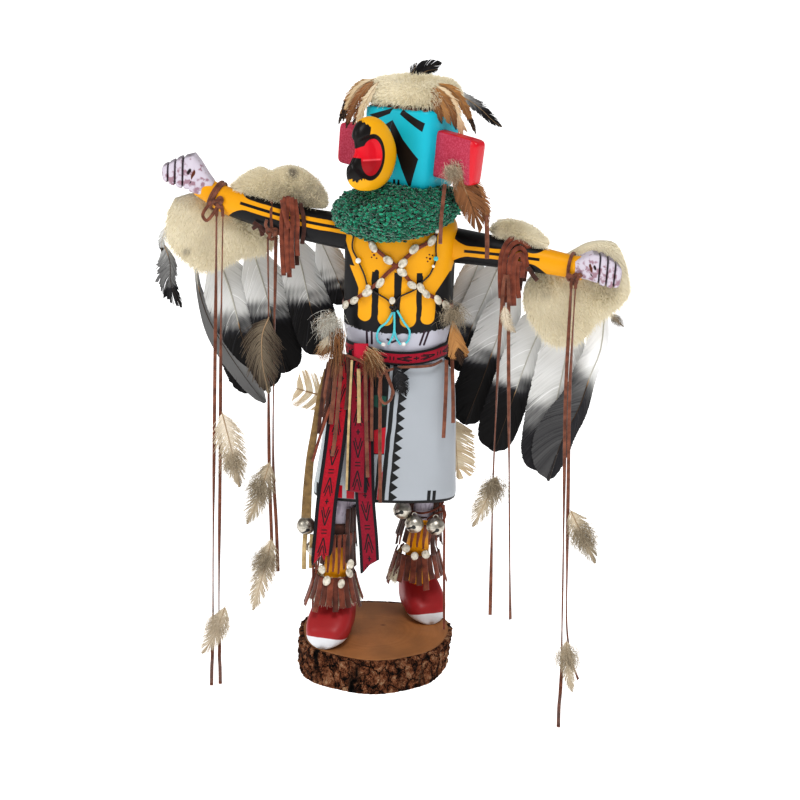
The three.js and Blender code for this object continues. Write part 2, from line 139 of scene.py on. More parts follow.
class Nodes:
    """One material and its nodes. Constants go on the shader's own sockets, and node() adds every other node."""

    def __init__(self, name, colour, roughness=0.5, **sockets):
        self.material = bpy.data.materials.new(name)
        self.material.use_nodes = True
        self.tree = self.material.node_tree
        self.shader = self.tree.nodes["Principled BSDF"]
        self.shader.inputs["Base Color"].default_value = linear(colour)
        self.shader.inputs["Roughness"].default_value = roughness
        for socket, value in sockets.items():
            self.shader.inputs[socket.replace("_", " ")].default_value = value

    def node(self, kind, settings, inputs, output=0):
        made = self.tree.nodes.new("ShaderNode" + kind)
        for key, value in settings.items():
            if key == "stops":
                for i, (at, colour) in enumerate(value):
                    stop = made.color_ramp.elements[i] if i < 2 else made.color_ramp.elements.new(at)
                    stop.position = at
                    stop.color = linear(colour)
            else:
                setattr(made, key, value)
        for key, value in inputs.items():
            if isinstance(value, Value):
                self.tree.links.new(value.socket, made.inputs[key])
            else:
                made.inputs[key].default_value = value
        return Value(self, made.outputs[output])

    def math(self, operation, *inputs, clamp=False):
        return self.node("Math", {"operation": operation, "use_clamp": clamp}, dict(enumerate(inputs)))

    def vector(self, operation, *inputs, output=0):
        return self.node("VectorMath", {"operation": operation}, dict(enumerate(inputs)), output)

    def set(self, **sockets):
        """Links what varies over the surface."""
        for socket, value in sockets.items():
            self.tree.links.new(value.socket, self.shader.inputs[socket.replace("_", " ")])
        return self

    def bump(self, height, strength=0.5, depth=0.001):
        bumped = self.node("Bump", {}, {"Strength": strength, "Distance": depth, "Height": height})
        return self.set(Normal=bumped)


print("signs that make a Math node:", len(SIGNS) + 2)

# %% [markdown]
# A painted shape is a distance to its outline, in millimetres, turned into a mask that fades over half a millimetre.
# It needs no image and stays crisp at any zoom. Shapes of one colour are joined into one mask, so that a paint is a
# short list of masks mixed over each other.

# %% Painted shapes
class Finish(Nodes):
    """A material with the patterns and shapes that the doll's paint and fibres need."""

    def place(self):
        """Where a point is on the object, in metres."""
        return self.node("TexCoord", {}, {}, "Object")

    def split(self, vector, scale=1 / MM):
        scaled = self.node("VectorMath", {"operation": "SCALE"}, {0: vector, "Scale": scale})
        return [self.node("SeparateXYZ", {}, {0: scaled}, axis) for axis in range(3)]

    def flat(self):
        """The two numbers laid on the mesh as its UV map, times 100."""
        return self.split(self.node("UVMap", {}, {}), 100)[:2]

    def mix(self, factor, a, b):
        a, b = [linear(c) if isinstance(c, str) else c for c in (a, b)]
        return self.node("Mix", {"data_type": "RGBA"}, {0: factor, 6: a, 7: b}, 2)

    def noise(self, scale, detail=3, stretch=(1, 1, 1)):
        """Smooth noise from 0 to 1. Scale is in lumps per metre."""
        at = self.vector("MULTIPLY", self.place(), stretch)
        return self.node("TexNoise", {}, {0: at, "Scale": scale, "Detail": detail})

    def ramp(self, factor, *stops):
        return self.node("ValToRGB", {"stops": stops}, {0: factor})

    def inside(self, distance, soft=0.5):
        """1 where a distance in mm is negative, fading over the soft width."""
        return self.math("MULTIPLY_ADD", distance, -1 / soft, 0.5, clamp=True)

    def patch(self, u, v, corners, soft=0.5):
        """A mask of a convex shape with these corners."""
        corners = np.array(corners, float)
        middle = corners.mean(0)
        sides = []
        for a, b in zip(corners, np.roll(corners, -1, 0)):
            normal = np.array([b[1] - a[1], a[0] - b[0]]) / np.hypot(*(b - a))
            normal *= np.sign(normal @ (a - middle))
            across = self.math("MULTIPLY_ADD", v, normal[1], -normal @ a)
            sides.append(self.math("MULTIPLY_ADD", u, normal[0], across))
        return self.inside(any_of(sides), soft)

    def stroke(self, u, v, points, radius, soft=0.5):
        """A mask of a line of this radius through the points."""
        at = self.node("CombineXYZ", {}, {0: u, 1: v})
        distances = []
        for a, b in zip(points, points[1:]):
            run = np.subtract(b, a)
            from_a = self.vector("SUBTRACT", at, (*a, 0))
            share = self.vector("DOT_PRODUCT", from_a, (*(run / (run @ run)), 0), output=1)
            share = self.math("ADD", share, 0, clamp=True)
            foot = self.node("VectorMath", {"operation": "SCALE"}, {0: (*run, 0), "Scale": share})
            distances.append(self.vector("DISTANCE", from_a, foot, output=1))
        return self.inside(functools.reduce(Value.__and__, distances) - radius, soft)


def any_of(masks):
    """The largest of several values, so for masks it is on where any of them is."""
    return functools.reduce(Value.__or__, masks)


print("a finish has", len([n for n in dir(Finish) if not n.startswith("_")]), "methods")

# %% [markdown]
# Every soft or carved piece is made from points worked out with numpy. These helpers turn an array of points into a
# mesh object, lay two numbers on it as a UV map for the paint, and make it ride on the doll. A skin over rings is the
# shape of nearly everything carved here.

# %% Mesh helpers
def piece(name, points, faces, finish, flat=None, stands_for=()):
    """A mesh from points in mm and faces of equal length, riding on the doll."""
    points, faces = np.asarray(points, float), np.asarray(faces, int)
    mesh = bpy.data.meshes.new(name)
    mesh.vertices.add(len(points))
    mesh.vertices.foreach_set("co", (points * MM).ravel())
    mesh.loops.add(faces.size)
    mesh.loops.foreach_set("vertex_index", faces.ravel())
    mesh.polygons.add(len(faces))
    mesh.polygons.foreach_set("loop_start", np.arange(0, faces.size, faces.shape[1]))
    mesh.update(calc_edges=True)
    mesh.validate()
    mesh.polygons.foreach_set("use_smooth", np.ones(len(mesh.polygons), bool))
    if flat is not None:
        order = np.zeros(len(mesh.loops), int)
        mesh.loops.foreach_get("vertex_index", order)
        mesh.uv_layers.new(name="flat").data.foreach_set("uv", np.asarray(flat, float)[order].ravel())
    mesh.materials.append(finish.material)
    made = bpy.data.objects.new(name, mesh)
    bpy.context.collection.objects.link(made)
    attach(made, "root")
    if stands_for:
        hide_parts(*stands_for)
    return made


def skin(rings, closed_ends=True):
    """Points and four-cornered faces over an array of rings, each end closed by a point in its middle."""
    rings = np.asarray(rings, float)
    m, n = rings.shape[:2]
    i, j = np.meshgrid(np.arange(m - 1), np.arange(n), indexing="ij")
    a, b = i * n + j, i * n + (j + 1) % n
    faces = np.stack([a, b, b + n, a + n], -1).reshape(-1, 4)
    points = rings.reshape(-1, 3)
    if closed_ends:
        ends = [rings[0].mean(0), rings[-1].mean(0)]
        j = np.arange(0, n - 1, 2)
        low = np.stack([np.full(len(j), m * n), (j + 2) % n, j + 1, j], -1)
        top = (m - 1) * n
        high = np.stack([np.full(len(j), m * n + 1), top + j, top + j + 1, top + (j + 2) % n], -1)
        points, faces = np.vstack([points, ends]), np.vstack([faces, low, high])
    return points, faces


def with_ends(flat):
    """UV numbers for a closed skin: the two middle points take their ring's mean."""
    return np.vstack([flat.reshape(-1, 2), flat[0].mean(0), flat[-1].mean(0)])


SQUARE = [(-1, -1, 0), (1, -1, 0), (1, 1, 0), (-1, 1, 0)]
print("a closed skin over two squares has", len(skin([SQUARE, SQUARE])[1]), "faces")

# %% [markdown]
# Curves come next. A carved limb, a strip of suede and the shaft of a feather all follow a smooth curve through a few
# places read from the photograph, and a ribbon along such a curve is a hair or a barb. Rounded oblongs are the
# sections of everything that was whittled from a block.

# %% Curves and ribbons
def circle(count):
    """Angles evenly round a circle."""
    return np.linspace(0, 2 * np.pi, count, endpoint=False)


def spline(points, count):
    """Points of a smooth curve through the rows, which may hold more than three numbers each."""
    p = np.asarray(points, float)
    steps = np.sqrt(np.linalg.norm(np.diff(p[:, :3], axis=0), axis=1))
    p = np.vstack([2 * p[0] - p[1], p, 2 * p[-1] - p[-2]])
    knots = np.concatenate([[-steps[0], 0], np.cumsum(steps), [steps.sum() + steps[-1]]])
    at = np.linspace(0, steps.sum(), count)
    i = np.clip(np.searchsorted(knots, at, side="right") - 1, 1, len(p) - 3)
    t = at[:, None]
    k = [knots[i + s][:, None] for s in (-1, 0, 1, 2)]
    q = [p[i + s] for s in (-1, 0, 1, 2)]
    a = [(q[s] * (k[s + 1] - t) + q[s + 1] * (t - k[s])) / (k[s + 1] - k[s]) for s in range(3)]
    b = [(a[s] * (k[s + 2] - t) + a[s + 1] * (t - k[s])) / (k[s + 2] - k[s]) for s in range(2)]
    return (b[0] * (k[2] - t) + b[1] * (t - k[1])) / (k[2] - k[1])


def outline(half_width, half_depth, power, sides):
    """Points of a rounded oblong round the origin: power 2 is an ellipse, and more is squarer."""
    t = 2 * np.pi * (np.arange(sides) + 0.5) / sides
    c, s = np.cos(t), np.sin(t)
    squared = [np.sign(w) * np.abs(w) ** (2 / power) for w in (c, s)]
    return np.stack([half_width * squared[0], half_depth * squared[1]], -1)


def unit(v):
    return v / np.maximum(np.linalg.norm(v, axis=-1, keepdims=True), 1e-9)


def ribbons(paths, widths, facing):
    """Flat strands: paths is (strands, points, 3), widths is (strands, points), facing is a direction each."""
    paths = np.asarray(paths, float)
    k, n = paths.shape[:2]
    along = unit(np.gradient(paths, axis=1))
    across = unit(np.cross(along, np.broadcast_to(facing, paths.shape)))
    half = across * np.asarray(widths)[..., None] / 2
    points = np.stack([paths - half, paths + half], 2).reshape(-1, 3)
    s, i = np.meshgrid(np.arange(k), np.arange(n - 1), indexing="ij")
    a = (s * n + i) * 2
    return points, np.stack([a, a + 1, a + 3, a + 2], -1).reshape(-1, 4)


def strand_flat(tones, n):
    """UV numbers for ribbons: a tone for each strand, and how far along it a point is."""
    along = np.broadcast_to(np.linspace(0, 1, n), (len(tones), n))
    tone = np.broadcast_to(np.asarray(tones)[:, None], along.shape)
    return np.repeat(np.stack([tone, along], -1).reshape(-1, 2), 2, 0)


def joined(parts):
    """One mesh's points, faces and UV numbers from several."""
    starts = np.cumsum([0] + [len(p[0]) for p in parts[:-1]])
    faces = np.vstack([np.asarray(p[1]) + s for p, s in zip(parts, starts)])
    flats = np.vstack([p[2] for p in parts]) if len(parts[0]) > 2 else None
    return np.vstack([p[0] for p in parts]), faces, flats


print("a spline through 4 points:", spline([[0, 0, 0], [1, 0, 0], [2, 1, 0], [3, 1, 0]], 4).round(2).tolist())

# %% [markdown]
# Suede has a matte nap, mottled lighter and darker at random. Everything cut from it here is a flat strip, so one
# function makes the nap and one makes the strip: a section with rounded edges that follows a path and may turn round
# it.

# %% Suede
def suede(name, colour, dark, light):
    """Matte nap with soft mottling."""
    finish = Finish(name, colour, 0.9, Sheen_Weight=0.35, Sheen_Roughness=0.5, Specular_IOR_Level=0.2)
    mottle = finish.noise(160, 4)
    nap = finish.noise(1800, 2)
    colour = finish.ramp(mottle, (0.3, dark), (0.7, light))
    finish.set(Base_Color=finish.mix(nap * 0.35, colour, light))
    return finish.bump(nap, 0.5, 0.0004)


def strap(path, width, thick, turn=None, facing=(0, -1, 0)):
    """A flat strip with rounded edges along a path of points. Turn twists it, in radians at each point."""
    path = np.asarray(path, float)
    forward = unit(np.gradient(path, axis=0))
    wide = unit(np.cross(forward, np.broadcast_to(facing, path.shape)))
    deep = np.cross(wide, forward)
    turn = np.zeros(len(path)) if turn is None else turn
    c, s = np.cos(turn)[:, None, None], np.sin(turn)[:, None, None]
    edge = outline(1, 1, 4, 8)
    sizes = [np.broadcast_to(w, len(path))[:, None, None] / 2 for w in (width, thick)]
    u, v = edge[None, :, :1] * sizes[0], edge[None, :, 1:] * sizes[1]
    rings = path[:, None] + (c * u - s * v) * wide[:, None] + (s * u + c * v) * deep[:, None]
    return skin(rings)


LACE_SUEDE = suede("lace_suede", "#68402f", "#4b2a1f", "#845340")
print("a straight strap has", len(strap([(0, 0, 0), (0, 0, 1)], 1, 1)[0]), "points")

# %% [markdown]
# The long laces are cut from suede, 3.4 mm wide, and hang limp from the wrists and forearms. Each one turns slowly
# round its own line. The two at the right wrist and one at the left wrist reach the floor and lie along it.

# %% Long laces
LACE_WIDTH = 3.4
LACES = {
    "right_wrist_lace_1": [(-159.5, 22, 440), (-160, 22, 380), (-161, 22, 300), (-162, 22, 200), (-163, 22, 90),
                           (-163, 21, 30), (-163, 16, 9), (-162, 4, 2), (-160, -22, 2), (-156, -66, 2)],
    "right_wrist_lace_2": [(-153.5, 22, 440), (-154.5, 22, 380), (-155.5, 22, 300), (-156, 22, 200), (-157, 22, 90),
                           (-157, 21, 30), (-156, 16, 9), (-155, 4, 2), (-152, -22, 2), (-148, -62, 2)],
    "right_forearm_lace_1": [(-110, 7, 422), (-109, 7, 360), (-108.5, 7, 290), (-108, 7, 240), (-107, 7, 190),
                             (-105, 7, 140), (-103, 7, 92)],
    "right_forearm_lace_2": [(-102.5, 7, 422), (-103, 7, 360), (-103.5, 7, 290), (-103.8, 7, 240), (-103, 7, 190),
                             (-100, 7, 140), (-98, 7, 92)],
    "left_forearm_lace_1": [(109, -45, 384), (107.5, -45, 340), (107, -45, 280), (106.5, -45, 210),
                            (107.5, -45, 140), (108.5, -45, 72)],
    "left_forearm_lace_2": [(114.5, -45, 384), (116, -45, 340), (119, -45, 270), (122, -45, 200), (125, -45, 130),
                            (128, -45, 68)],
    "left_wrist_lace_1": [(170.5, -55, 395), (170, -55, 350), (170, -55, 290), (172.5, -55, 210), (175, -55, 130),
                          (177, -55, 60), (178, -58, 20), (177, -68, 3.5), (174, -95, 2), (170, -143, 2)],
    "left_wrist_lace_2": [(174.3, -55, 395), (173.8, -55, 350), (173.8, -55, 290), (176.3, -55, 210),
                          (178.8, -55, 130), (182, -55, 60), (188, -56, 30), (194.5, -57, 13)],
}
for number, (name, route) in enumerate(LACES.items()):
    path = spline(route, 110)
    height = np.clip(path[:, 2] / 400, 0, 1)
    turn = (0.9 * np.sin(2.2 * np.pi * height + number) + 0.8) * np.clip(path[:, 2] / 30, 0, 1)
    points, faces = strap(path, LACE_WIDTH, 1.3, turn, facing=(0, -0.7, 0.7))
    made = piece(name + "_strip", points, faces, LACE_SUEDE, stands_for=[name])
    length = np.linalg.norm(np.diff(path, axis=0), axis=1).sum()
    path[0] * MM
    length * MM
    path * MM
    print(name, round(length), "mm")

# %% [markdown]
# The base is a slice of a log: a sawn, sanded top and a band of rough bark. Bark could be a bump map, but its ridges
# break the outline of the slice, so the ring of bark is a fine mesh pushed in and out by noise that is stretched
# along the trunk. Its plates are painted by finer noise, darker at their edges, and the cracks are painted nearly
# black: painted shade in the furrows.

# %% Bark
LOG_TOP, LOG_AT = 34, np.array([-1, 6])


def log_outline(turns):
    wave = 1 + 0.012 * np.sin(3 * turns + 0.4) + 0.01 * np.sin(7 * turns)
    bulge = 0.08 * np.exp(-(((turns - 0.95) / 0.22) ** 2)) + 0.05 * np.exp(-(((turns - 3.7) / 0.4) ** 2))
    radius = wave + bulge
    return LOG_AT + np.stack([73.5 * radius * np.cos(turns), 80.5 * radius * np.sin(turns)], -1)


edge = log_outline(circle(420))
outward = unit(edge - LOG_AT)
levels = np.array([0.05, 1.5, 3, 5, 7, 9, 11, 13, 15, 17, 19, 21, 23, 25, 27, 29, 31, 32.5, 33.6, 34.2, 34.3, 34])
rings = []
for i, level in enumerate(levels):
    inset = 1.6 - 3.2 * (level / LOG_TOP) ** 0.7 if i < 18 else (-1.2, 0.2, 1.8, 4.5)[i - 18]
    ring = []
    for (x, y), (ox, oy) in zip(edge, outward):
        fissure = noise.noise((x * 0.16, y * 0.16, level * 0.035))
        crumbs = noise.fractal((x * 0.33, y * 0.33, level * 0.2), 0.7, 2, 4)
        rough = min(1, level / 2 + 0.3) if i < 19 else 0.25
        push = rough * (2.2 * crumbs + 2.6 * min(0, fissure + 0.18) * 2) - inset * 0.6
        ring.append((x + ox * push - 2.6 * (1 - level / LOG_TOP), y + oy * push, level))
    rings.append(ring)
points, faces = skin(rings, closed_ends=False)
bark = Finish("bark", "#6f4c33", 0.9, Specular_IOR_Level=0.15)
grain = bark.noise(120, 8, stretch=(1, 1, 1.1))
fine = bark.noise(900, 4)
crack = bark.noise(60, 2, stretch=(1, 1, 0.15))
swirl = bark.node("TexNoise", {}, {0: bark.place(), "Scale": 70.0, "Detail": 4.0}, 1)
twist = bark.vector("MULTIPLY", swirl, (0.018, 0.018, 0.018))
at = bark.vector("MULTIPLY", bark.vector("ADD", bark.place(), twist), (1, 1, 0.75))
plates = bark.node("TexVoronoi", {"feature": "DISTANCE_TO_EDGE"}, {0: at, "Scale": 72.0})
# Painted shade in the furrows: the tone is lower near each plate's edge, and deep below darkens the cracks nearly to
# black.
tone = grain * 0.6 + fine * 0.4 + plates * 0.3 - 0.02
colour = bark.ramp(tone, (0.4, "#150c09"), (0.48, "#55301e"), (0.56, "#8f5b3e"), (0.68, "#bd9a7a"))
deep = bark.ramp(bark.math("MINIMUM", crack, plates * 2.2 + 0.33), (0.36, "#1c1410"), (0.43, "#ffffff"))
bark.set(Base_Color=bark.node("Mix", {"data_type": "RGBA", "blend_type": "MULTIPLY"}, {0: 1.0, 6: colour, 7: deep}, 2))
bark.bump(grain + fine * 0.7 + bark.math("MINIMUM", plates * 2.5, 0.5), 1, 0.005)
piece("log_bark", points, faces, bark, stands_for=["wood_base"])
print("bark:", len(points), "points")

# %% [markdown]
# The sawn face of the log is sanded and a little glossy. Its rings follow the trunk, with a wobble that comes from
# growth, a few darker stains and a pith off its middle. Nested discs make the face, and a skirt inside the bark
# closes it underneath.

# %% Sawn wood
shares = np.array([0.03, 0.2, 0.4, 0.6, 0.8, 0.92, 0.965])
sawn = Finish("sawn_wood", "#a86d3c", 0.62)
x, y, z = sawn.split(sawn.place())
wobble = sawn.noise(14, 2) * 22
far = sawn.math("SQRT", (x + 4) * (x + 4) + (y - 2) * (y - 2) * 0.82) + wobble
ring_light = sawn.node("TexNoise", {"noise_dimensions": "1D"}, {"W": far, "Scale": 0.3, "Detail": 2.0})
patches = sawn.noise(22, 3)
streaks = sawn.noise(420, 3, stretch=(1, 0.25, 1))
colour = sawn.ramp(ring_light, (0.3, "#ab7140"), (0.75, "#b27846"))
colour = sawn.mix(sawn.inside(0.52 - patches, 0.25) * 0.6, colour, "#7a5230")
colour = sawn.mix(streaks * 0.3, colour, "#8a5a31")
pith = sawn.inside(sawn.math("SQRT", (x - 6) * (x - 6) + (y - 18) * (y - 18)) - 2.2, 3)
sawn.set(Base_Color=sawn.mix(pith * 0.7, colour, "#5c3a22")).bump(streaks, 0.2, 0.0006)


def disc(share, height):
    """The log's outline, drawn in to a share of its size."""
    return np.column_stack([LOG_AT + (edge - LOG_AT) * share, np.full(len(edge), height)])


discs = [disc(s, LOG_TOP + 0.05 + 0.25 * (1 - s)) for s in shares]
points, faces = skin([disc(0.94, 0.3)] + discs[::-1])
piece("log_wood", points, faces, sawn)
print("sawn wood:", len(points), "points")

# %% [markdown]
# Torso, kilt, legs and moccasins are one carving, covered in satin acrylic paint. The smooth mesh follows the same
# sections as the CAD solid, only with many more of them. The painted shapes are laid out from the front, in
# millimetres across and up. The chest is yellow with four fingers over black, and repeats on the back.

# %% Torso
def stacked(sections, power, sides, count):
    """Rings through level sections z, x, y, half width, half depth."""
    rows = spline([(x, y, z, w, d) for z, x, y, w, d in sections], count)
    return np.array([np.column_stack([r[:2] + outline(r[3], r[4], power, sides), np.full(sides, r[2])]) for r in rows])


def acrylic(name, colour, roughness=0.38):
    """Brushed satin paint over carved wood, with a slightly uneven coat."""
    return Finish(name, colour, roughness, Specular_IOR_Level=0.25)


def brushed(finish, colour, wood_grain=1.0):
    """Finishes a paint: uneven tone, brush marks and the wood's grain under it."""
    tone = finish.noise(35, 3)
    marks = finish.noise(260, 3, stretch=(1, 1, 0.3))
    colour = finish.mix(tone * 0.08, colour, "#3a3020")
    finish.set(Base_Color=colour, Roughness=finish.math("MULTIPLY_ADD", marks, 0.2, 0.3))
    return finish.bump(marks, 0.18 * wood_grain, 0.0006)


torso_paint = acrylic("torso_paint", "#17161a")
x, y, z = torso_paint.split(torso_paint.place())
wander = (torso_paint.noise(70, 2) - 0.5) * 2.2
u, v = x + wander, z + wander
PANELS = [[(-58, 478), (90, 478), (74, 434), (64, 400), (-31, 400), (-37, 427)],
          [(-32, 404), (-22.5, 380), (-11.7, 380), (-11.7, 404)], [(35.4, 381), (47.6, 381), (63, 404), (35.4, 404)]]
FINGERS = [([(-17.6, 400), (-17.4, 359)], 6.2), ([(1.8, 400), (2, 356.5)], 7.3), ([(22.4, 400), (22.8, 355.5)], 7.6),
           ([(41.4, 400), (41.2, 357.5)], 6.4)]
GAPS = [([(-6.9, 400), (-7.3, 360)], 2.3), ([(14, 396), (12.3, 360)], 2.6), ([(33.4, 396), (33, 360)], 2.2)]
panels = any_of(torso_paint.patch(u, v, corners) for corners in PANELS)
fingers, gaps = [any_of(torso_paint.stroke(u, v, *line) for line in lines) for lines in (FINGERS, GAPS)]
yellow = torso_paint.math("SUBTRACT", panels | fingers, gaps, clamp=True)
colour = torso_paint.mix(yellow, "#0c0c10", "#e6a20a")
DOTS = {1.1: [(-9.8, 415.9), (41.7, 413.5)],
        0.75: [(-12, 413.6), (-7.4, 413), (-11.4, 418.6), (38.6, 414.6), (44, 416.6), (41, 417.4), (39.6, 411)]}
dots = any_of(torso_paint.stroke(x, z, [(a, b), (a + 0.1, b)], size, 0.3) for size in DOTS for a, b in DOTS[size])
colour = torso_paint.mix(dots, colour, "#5a1a12")
ragged = z + (torso_paint.noise(330, 3) - 0.5) * 7 - 0.0022 * (x - 13) * (x - 13)
waist = torso_paint.inside(ragged - 341.5, 0.8)
colour = torso_paint.mix(waist, colour, "#bcbbc6")
NICKS = [[(-15.2, 343), (-14.6, 331)], [(-10.6, 343), (-10.2, 331)], [(38.6, 344), (34.6, 331)],
         [(42.4, 344), (38.4, 331)], [(4.4, 336), (8.6, 333)], [(8.6, 333), (13.6, 335.6)]]
marks = any_of(torso_paint.stroke(x, z, line, 1.0) for line in NICKS)
brushed(torso_paint, torso_paint.mix(marks, colour, "#2b1424"))
TORSO = [(306, 13, 1, 45, 27), (324, 13, 1, 45.5, 27), (345, 13, 0, 50, 29), (370, 13.6, 0, 51.2, 31),
         (405, 14, 0, 51.5, 32), (430, 15, 0, 52.5, 32), (444, 15.3, 1, 50, 29), (453, 15.5, 1, 40, 24),
         (459, 15.5, 2, 23, 21), (476, 15, 2, 20, 20)]
points, faces = skin(stacked(TORSO, 2.7, 100, 60))
piece("torso", points, faces, torso_paint, stands_for=["carved_body"])
print("torso:", len(points), "points")

# %% [markdown]
# The kilt is carved as a stiff skirt with a hollow under its hem. Its front is painted: a black panel with green and
# red cloth, a sawtooth border, a black hem and a few upright marks above it. The back is left plain but for the hem.

# %% Kilt
kilt_paint = acrylic("kilt_paint", "#d9dce2")
x, y, z = kilt_paint.split(kilt_paint.place())


def shapes(soft, *outlines):
    """One mask of several patches on the kilt."""
    return any_of(kilt_paint.patch(x, z, corners, soft) for corners in outlines)


def upright(left, right, top, bottom):
    return [(left, top), (right, top), (right, bottom), (left, bottom)]


front = kilt_paint.inside(y + 4, 2)
wander = (kilt_paint.noise(60, 2) - 0.5) * 1.6
tip = x + wander - (z - 299.6) * 0.074 - 25.4
teeth = kilt_paint.math("PINGPONG", z + 2.0, 4.85) * -1.35
sawtooth = kilt_paint.inside(tip - teeth, 0.5) & kilt_paint.inside(-8.2 - tip, 0.4)
lines = kilt_paint.inside(abs(tip + 13.8) - 2.05, 0.4) | kilt_paint.inside(abs(tip + 20.6) - 1.3, 0.4)
panel = shapes(0.5, [(-22, 320), (7.8, 320), (3.6, 224), (-22, 224)])
# Painted light and shade: the white is lighter on the front where x is below -30 mm, the doll's right side that the
# light falls on, and a shaded grey-white elsewhere.
white = kilt_paint.mix(kilt_paint.inside(x + 30, 2) & front, "#a9aeb4", "#bcc4c8")
colour = kilt_paint.mix(((sawtooth | lines) | panel) & front, white, "#0e0f12")
green = shapes(1.2, [(-10.5, 282), (-3.5, 282), (-3.2, 270), (-10.5, 272)],
               [(-1.2, 282), (4.6, 281), (4, 272), (-1, 271)])
colour = kilt_paint.mix(green & front, colour, "#1c5546")
cloth = shapes(0.6, [(-8.6, 247), (4.6, 251), (3.4, 225), (-8.6, 225)],
               [(-2.5, 178), (1.4, 178), (2.6, 208), (-1.0, 200)])
colour = kilt_paint.mix(cloth & front, colour, "#c0152c")
block, gap = shapes(0.4, upright(-40, -24, 192, 179.5)), shapes(0.4, upright(-35.4, -31.4, 193, 178))
colour = kilt_paint.mix(kilt_paint.math("SUBTRACT", block, gap, clamp=True) & front, colour, "#c0152c")
teeth = kilt_paint.inside(x + 52 - kilt_paint.math("PINGPONG", z, 4.2) * 1.2, 0.5) & kilt_paint.inside(270 - z, 0.4)
edge_band = (teeth & kilt_paint.inside(-59 - x, 0.4)) & kilt_paint.inside(z - 292, 0.5)
colour = kilt_paint.mix(edge_band & front, colour, "#131519")
hem = kilt_paint.inside(z - 179.3 + (kilt_paint.noise(40, 2) - 0.5) * 1.4, 0.5)
marks = shapes(0.4, [(45.6, 189), (48.8, 189), (48.2, 177), (45, 177)],
               [(50.6, 188.6), (53.8, 188.6), (53.2, 177), (50, 177)],
               upright(-60.6, -58.6, 190, 178), upright(-57, -55, 190, 178)) & kilt_paint.inside(y - 6, 1)
side_line = kilt_paint.inside(abs(y - 8) - 0.9, 0.4) & kilt_paint.inside(z - 268, 1)
side_line = side_line & kilt_paint.inside(-40 - x, 1)
brushed(kilt_paint, kilt_paint.mix((hem | marks) | side_line, colour, "#101114"))
KILT = [(176, 4.5, 6, 67.5, 33.5), (177, 4.5, 6, 68.5, 34.5), (200, 5.8, 6, 66.8, 34.3), (220, 7, 6, 65, 34),
        (262, 9.3, 5, 61.5, 33), (290, 11.5, 3, 57, 31.5), (303, 12.5, 2, 51, 29.5), (312, 13, 1, 45.3, 27.2)]
rings = stacked(KILT, 3, 100, 40)
rim = rings[0].copy()
rim[:, 2] = 175.6
KILT_MIDDLE = np.array([4.5, 6, 0])
hollow = [(rim - KILT_MIDDLE) * [s, s, 1] + KILT_MIDDLE + [0, 0, deep]
          for s, deep in ((0.75, 14), (0.93, 9), (0.955, 0.4))]
points, faces = skin(np.vstack([np.array(hollow), rings]))
piece("kilt", points, faces, kilt_paint)
print("kilt:", len(points), "points")

# %% [markdown]
# The legs are part of the same block. They are painted a pale mottled mauve under the kilt and yellow at the knee,
# and most of them hides behind the cuffs. Each moccasin is a rounded shoe in brick red with a white sole, turned out
# as in the photograph.

# %% Legs and moccasins
def limb_rings(stations, sides, count):
    """Rings along a bent limb, with the distance along it and the height across it for the paint."""
    rows = spline([(*s, s[3]) if len(s) == 4 else s for s in stations], count)
    centres = rows[:, :3]
    along = unit(np.gradient(centres, axis=0))
    across = unit(np.cross((0, 1, 0), along))
    deep = np.cross(along, across)
    ring = [outline(r, d, 2.3, sides) for r, d in rows[:, 3:]]
    rings = np.array([c + o[:, :1] * a + o[:, 1:] * d for c, o, a, d in zip(centres, ring, across, deep)])
    gone = np.concatenate([[0], np.cumsum(np.linalg.norm(np.diff(centres, axis=0), axis=1))])
    height = np.array([o[:, 0] * (a[2] if abs(a[2]) > 0.3 else 1) for o, a in zip(ring, across)])
    return rings, np.stack([np.broadcast_to(gone[:, None], height.shape), height], -1) / 100


leg_paint = acrylic("leg_paint", "#e8a012")
x, y, z = leg_paint.split(leg_paint.place())
thigh = leg_paint.inside(148 - z + (leg_paint.noise(120, 2) - 0.5) * 5, 0.8)
veins = leg_paint.inside(leg_paint.noise(500, 2, stretch=(1, 1, 0.2)) - 0.42, 0.06)
pale = leg_paint.mix(veins * 0.5, "#bdb6c2", "#837689")
brushed(leg_paint, leg_paint.mix(thigh, "#eda20f", pale))
LEGS = {
    "right_leg": [(-36, -2, 190, 15), (-38, -8, 150, 13.5), (-40.5, -13, 128, 12.5), (-41.5, -14, 100, 11),
                  (-42, -12, 74, 12)],
    "left_leg": [(44, 12, 190, 16), (42.5, 22, 150, 14.5), (39, 32, 128, 12.5), (38.5, 42, 100, 11), (41, 50, 74, 12)],
}
for name, stations in LEGS.items():
    rings, flat = limb_rings(stations, 40, 40)
    points, faces = skin(rings)
    piece(name, points, faces, leg_paint)

shoe_paint = acrylic("moccasin_paint", "#a22d2f", 0.45)
s, h = shoe_paint.flat()
sole = 5.2 + shoe_paint.math("EXPONENT", s * -0.055) * 6.6 + (shoe_paint.noise(50, 2) - 0.5) * 1.5
brushed(shoe_paint, shoe_paint.mix(shoe_paint.inside(h - sole, 0.6), "#a12b2e", "#dfe0e4"), 0.6)


SOLE_HEIGHT = LOG_TOP + 0.3


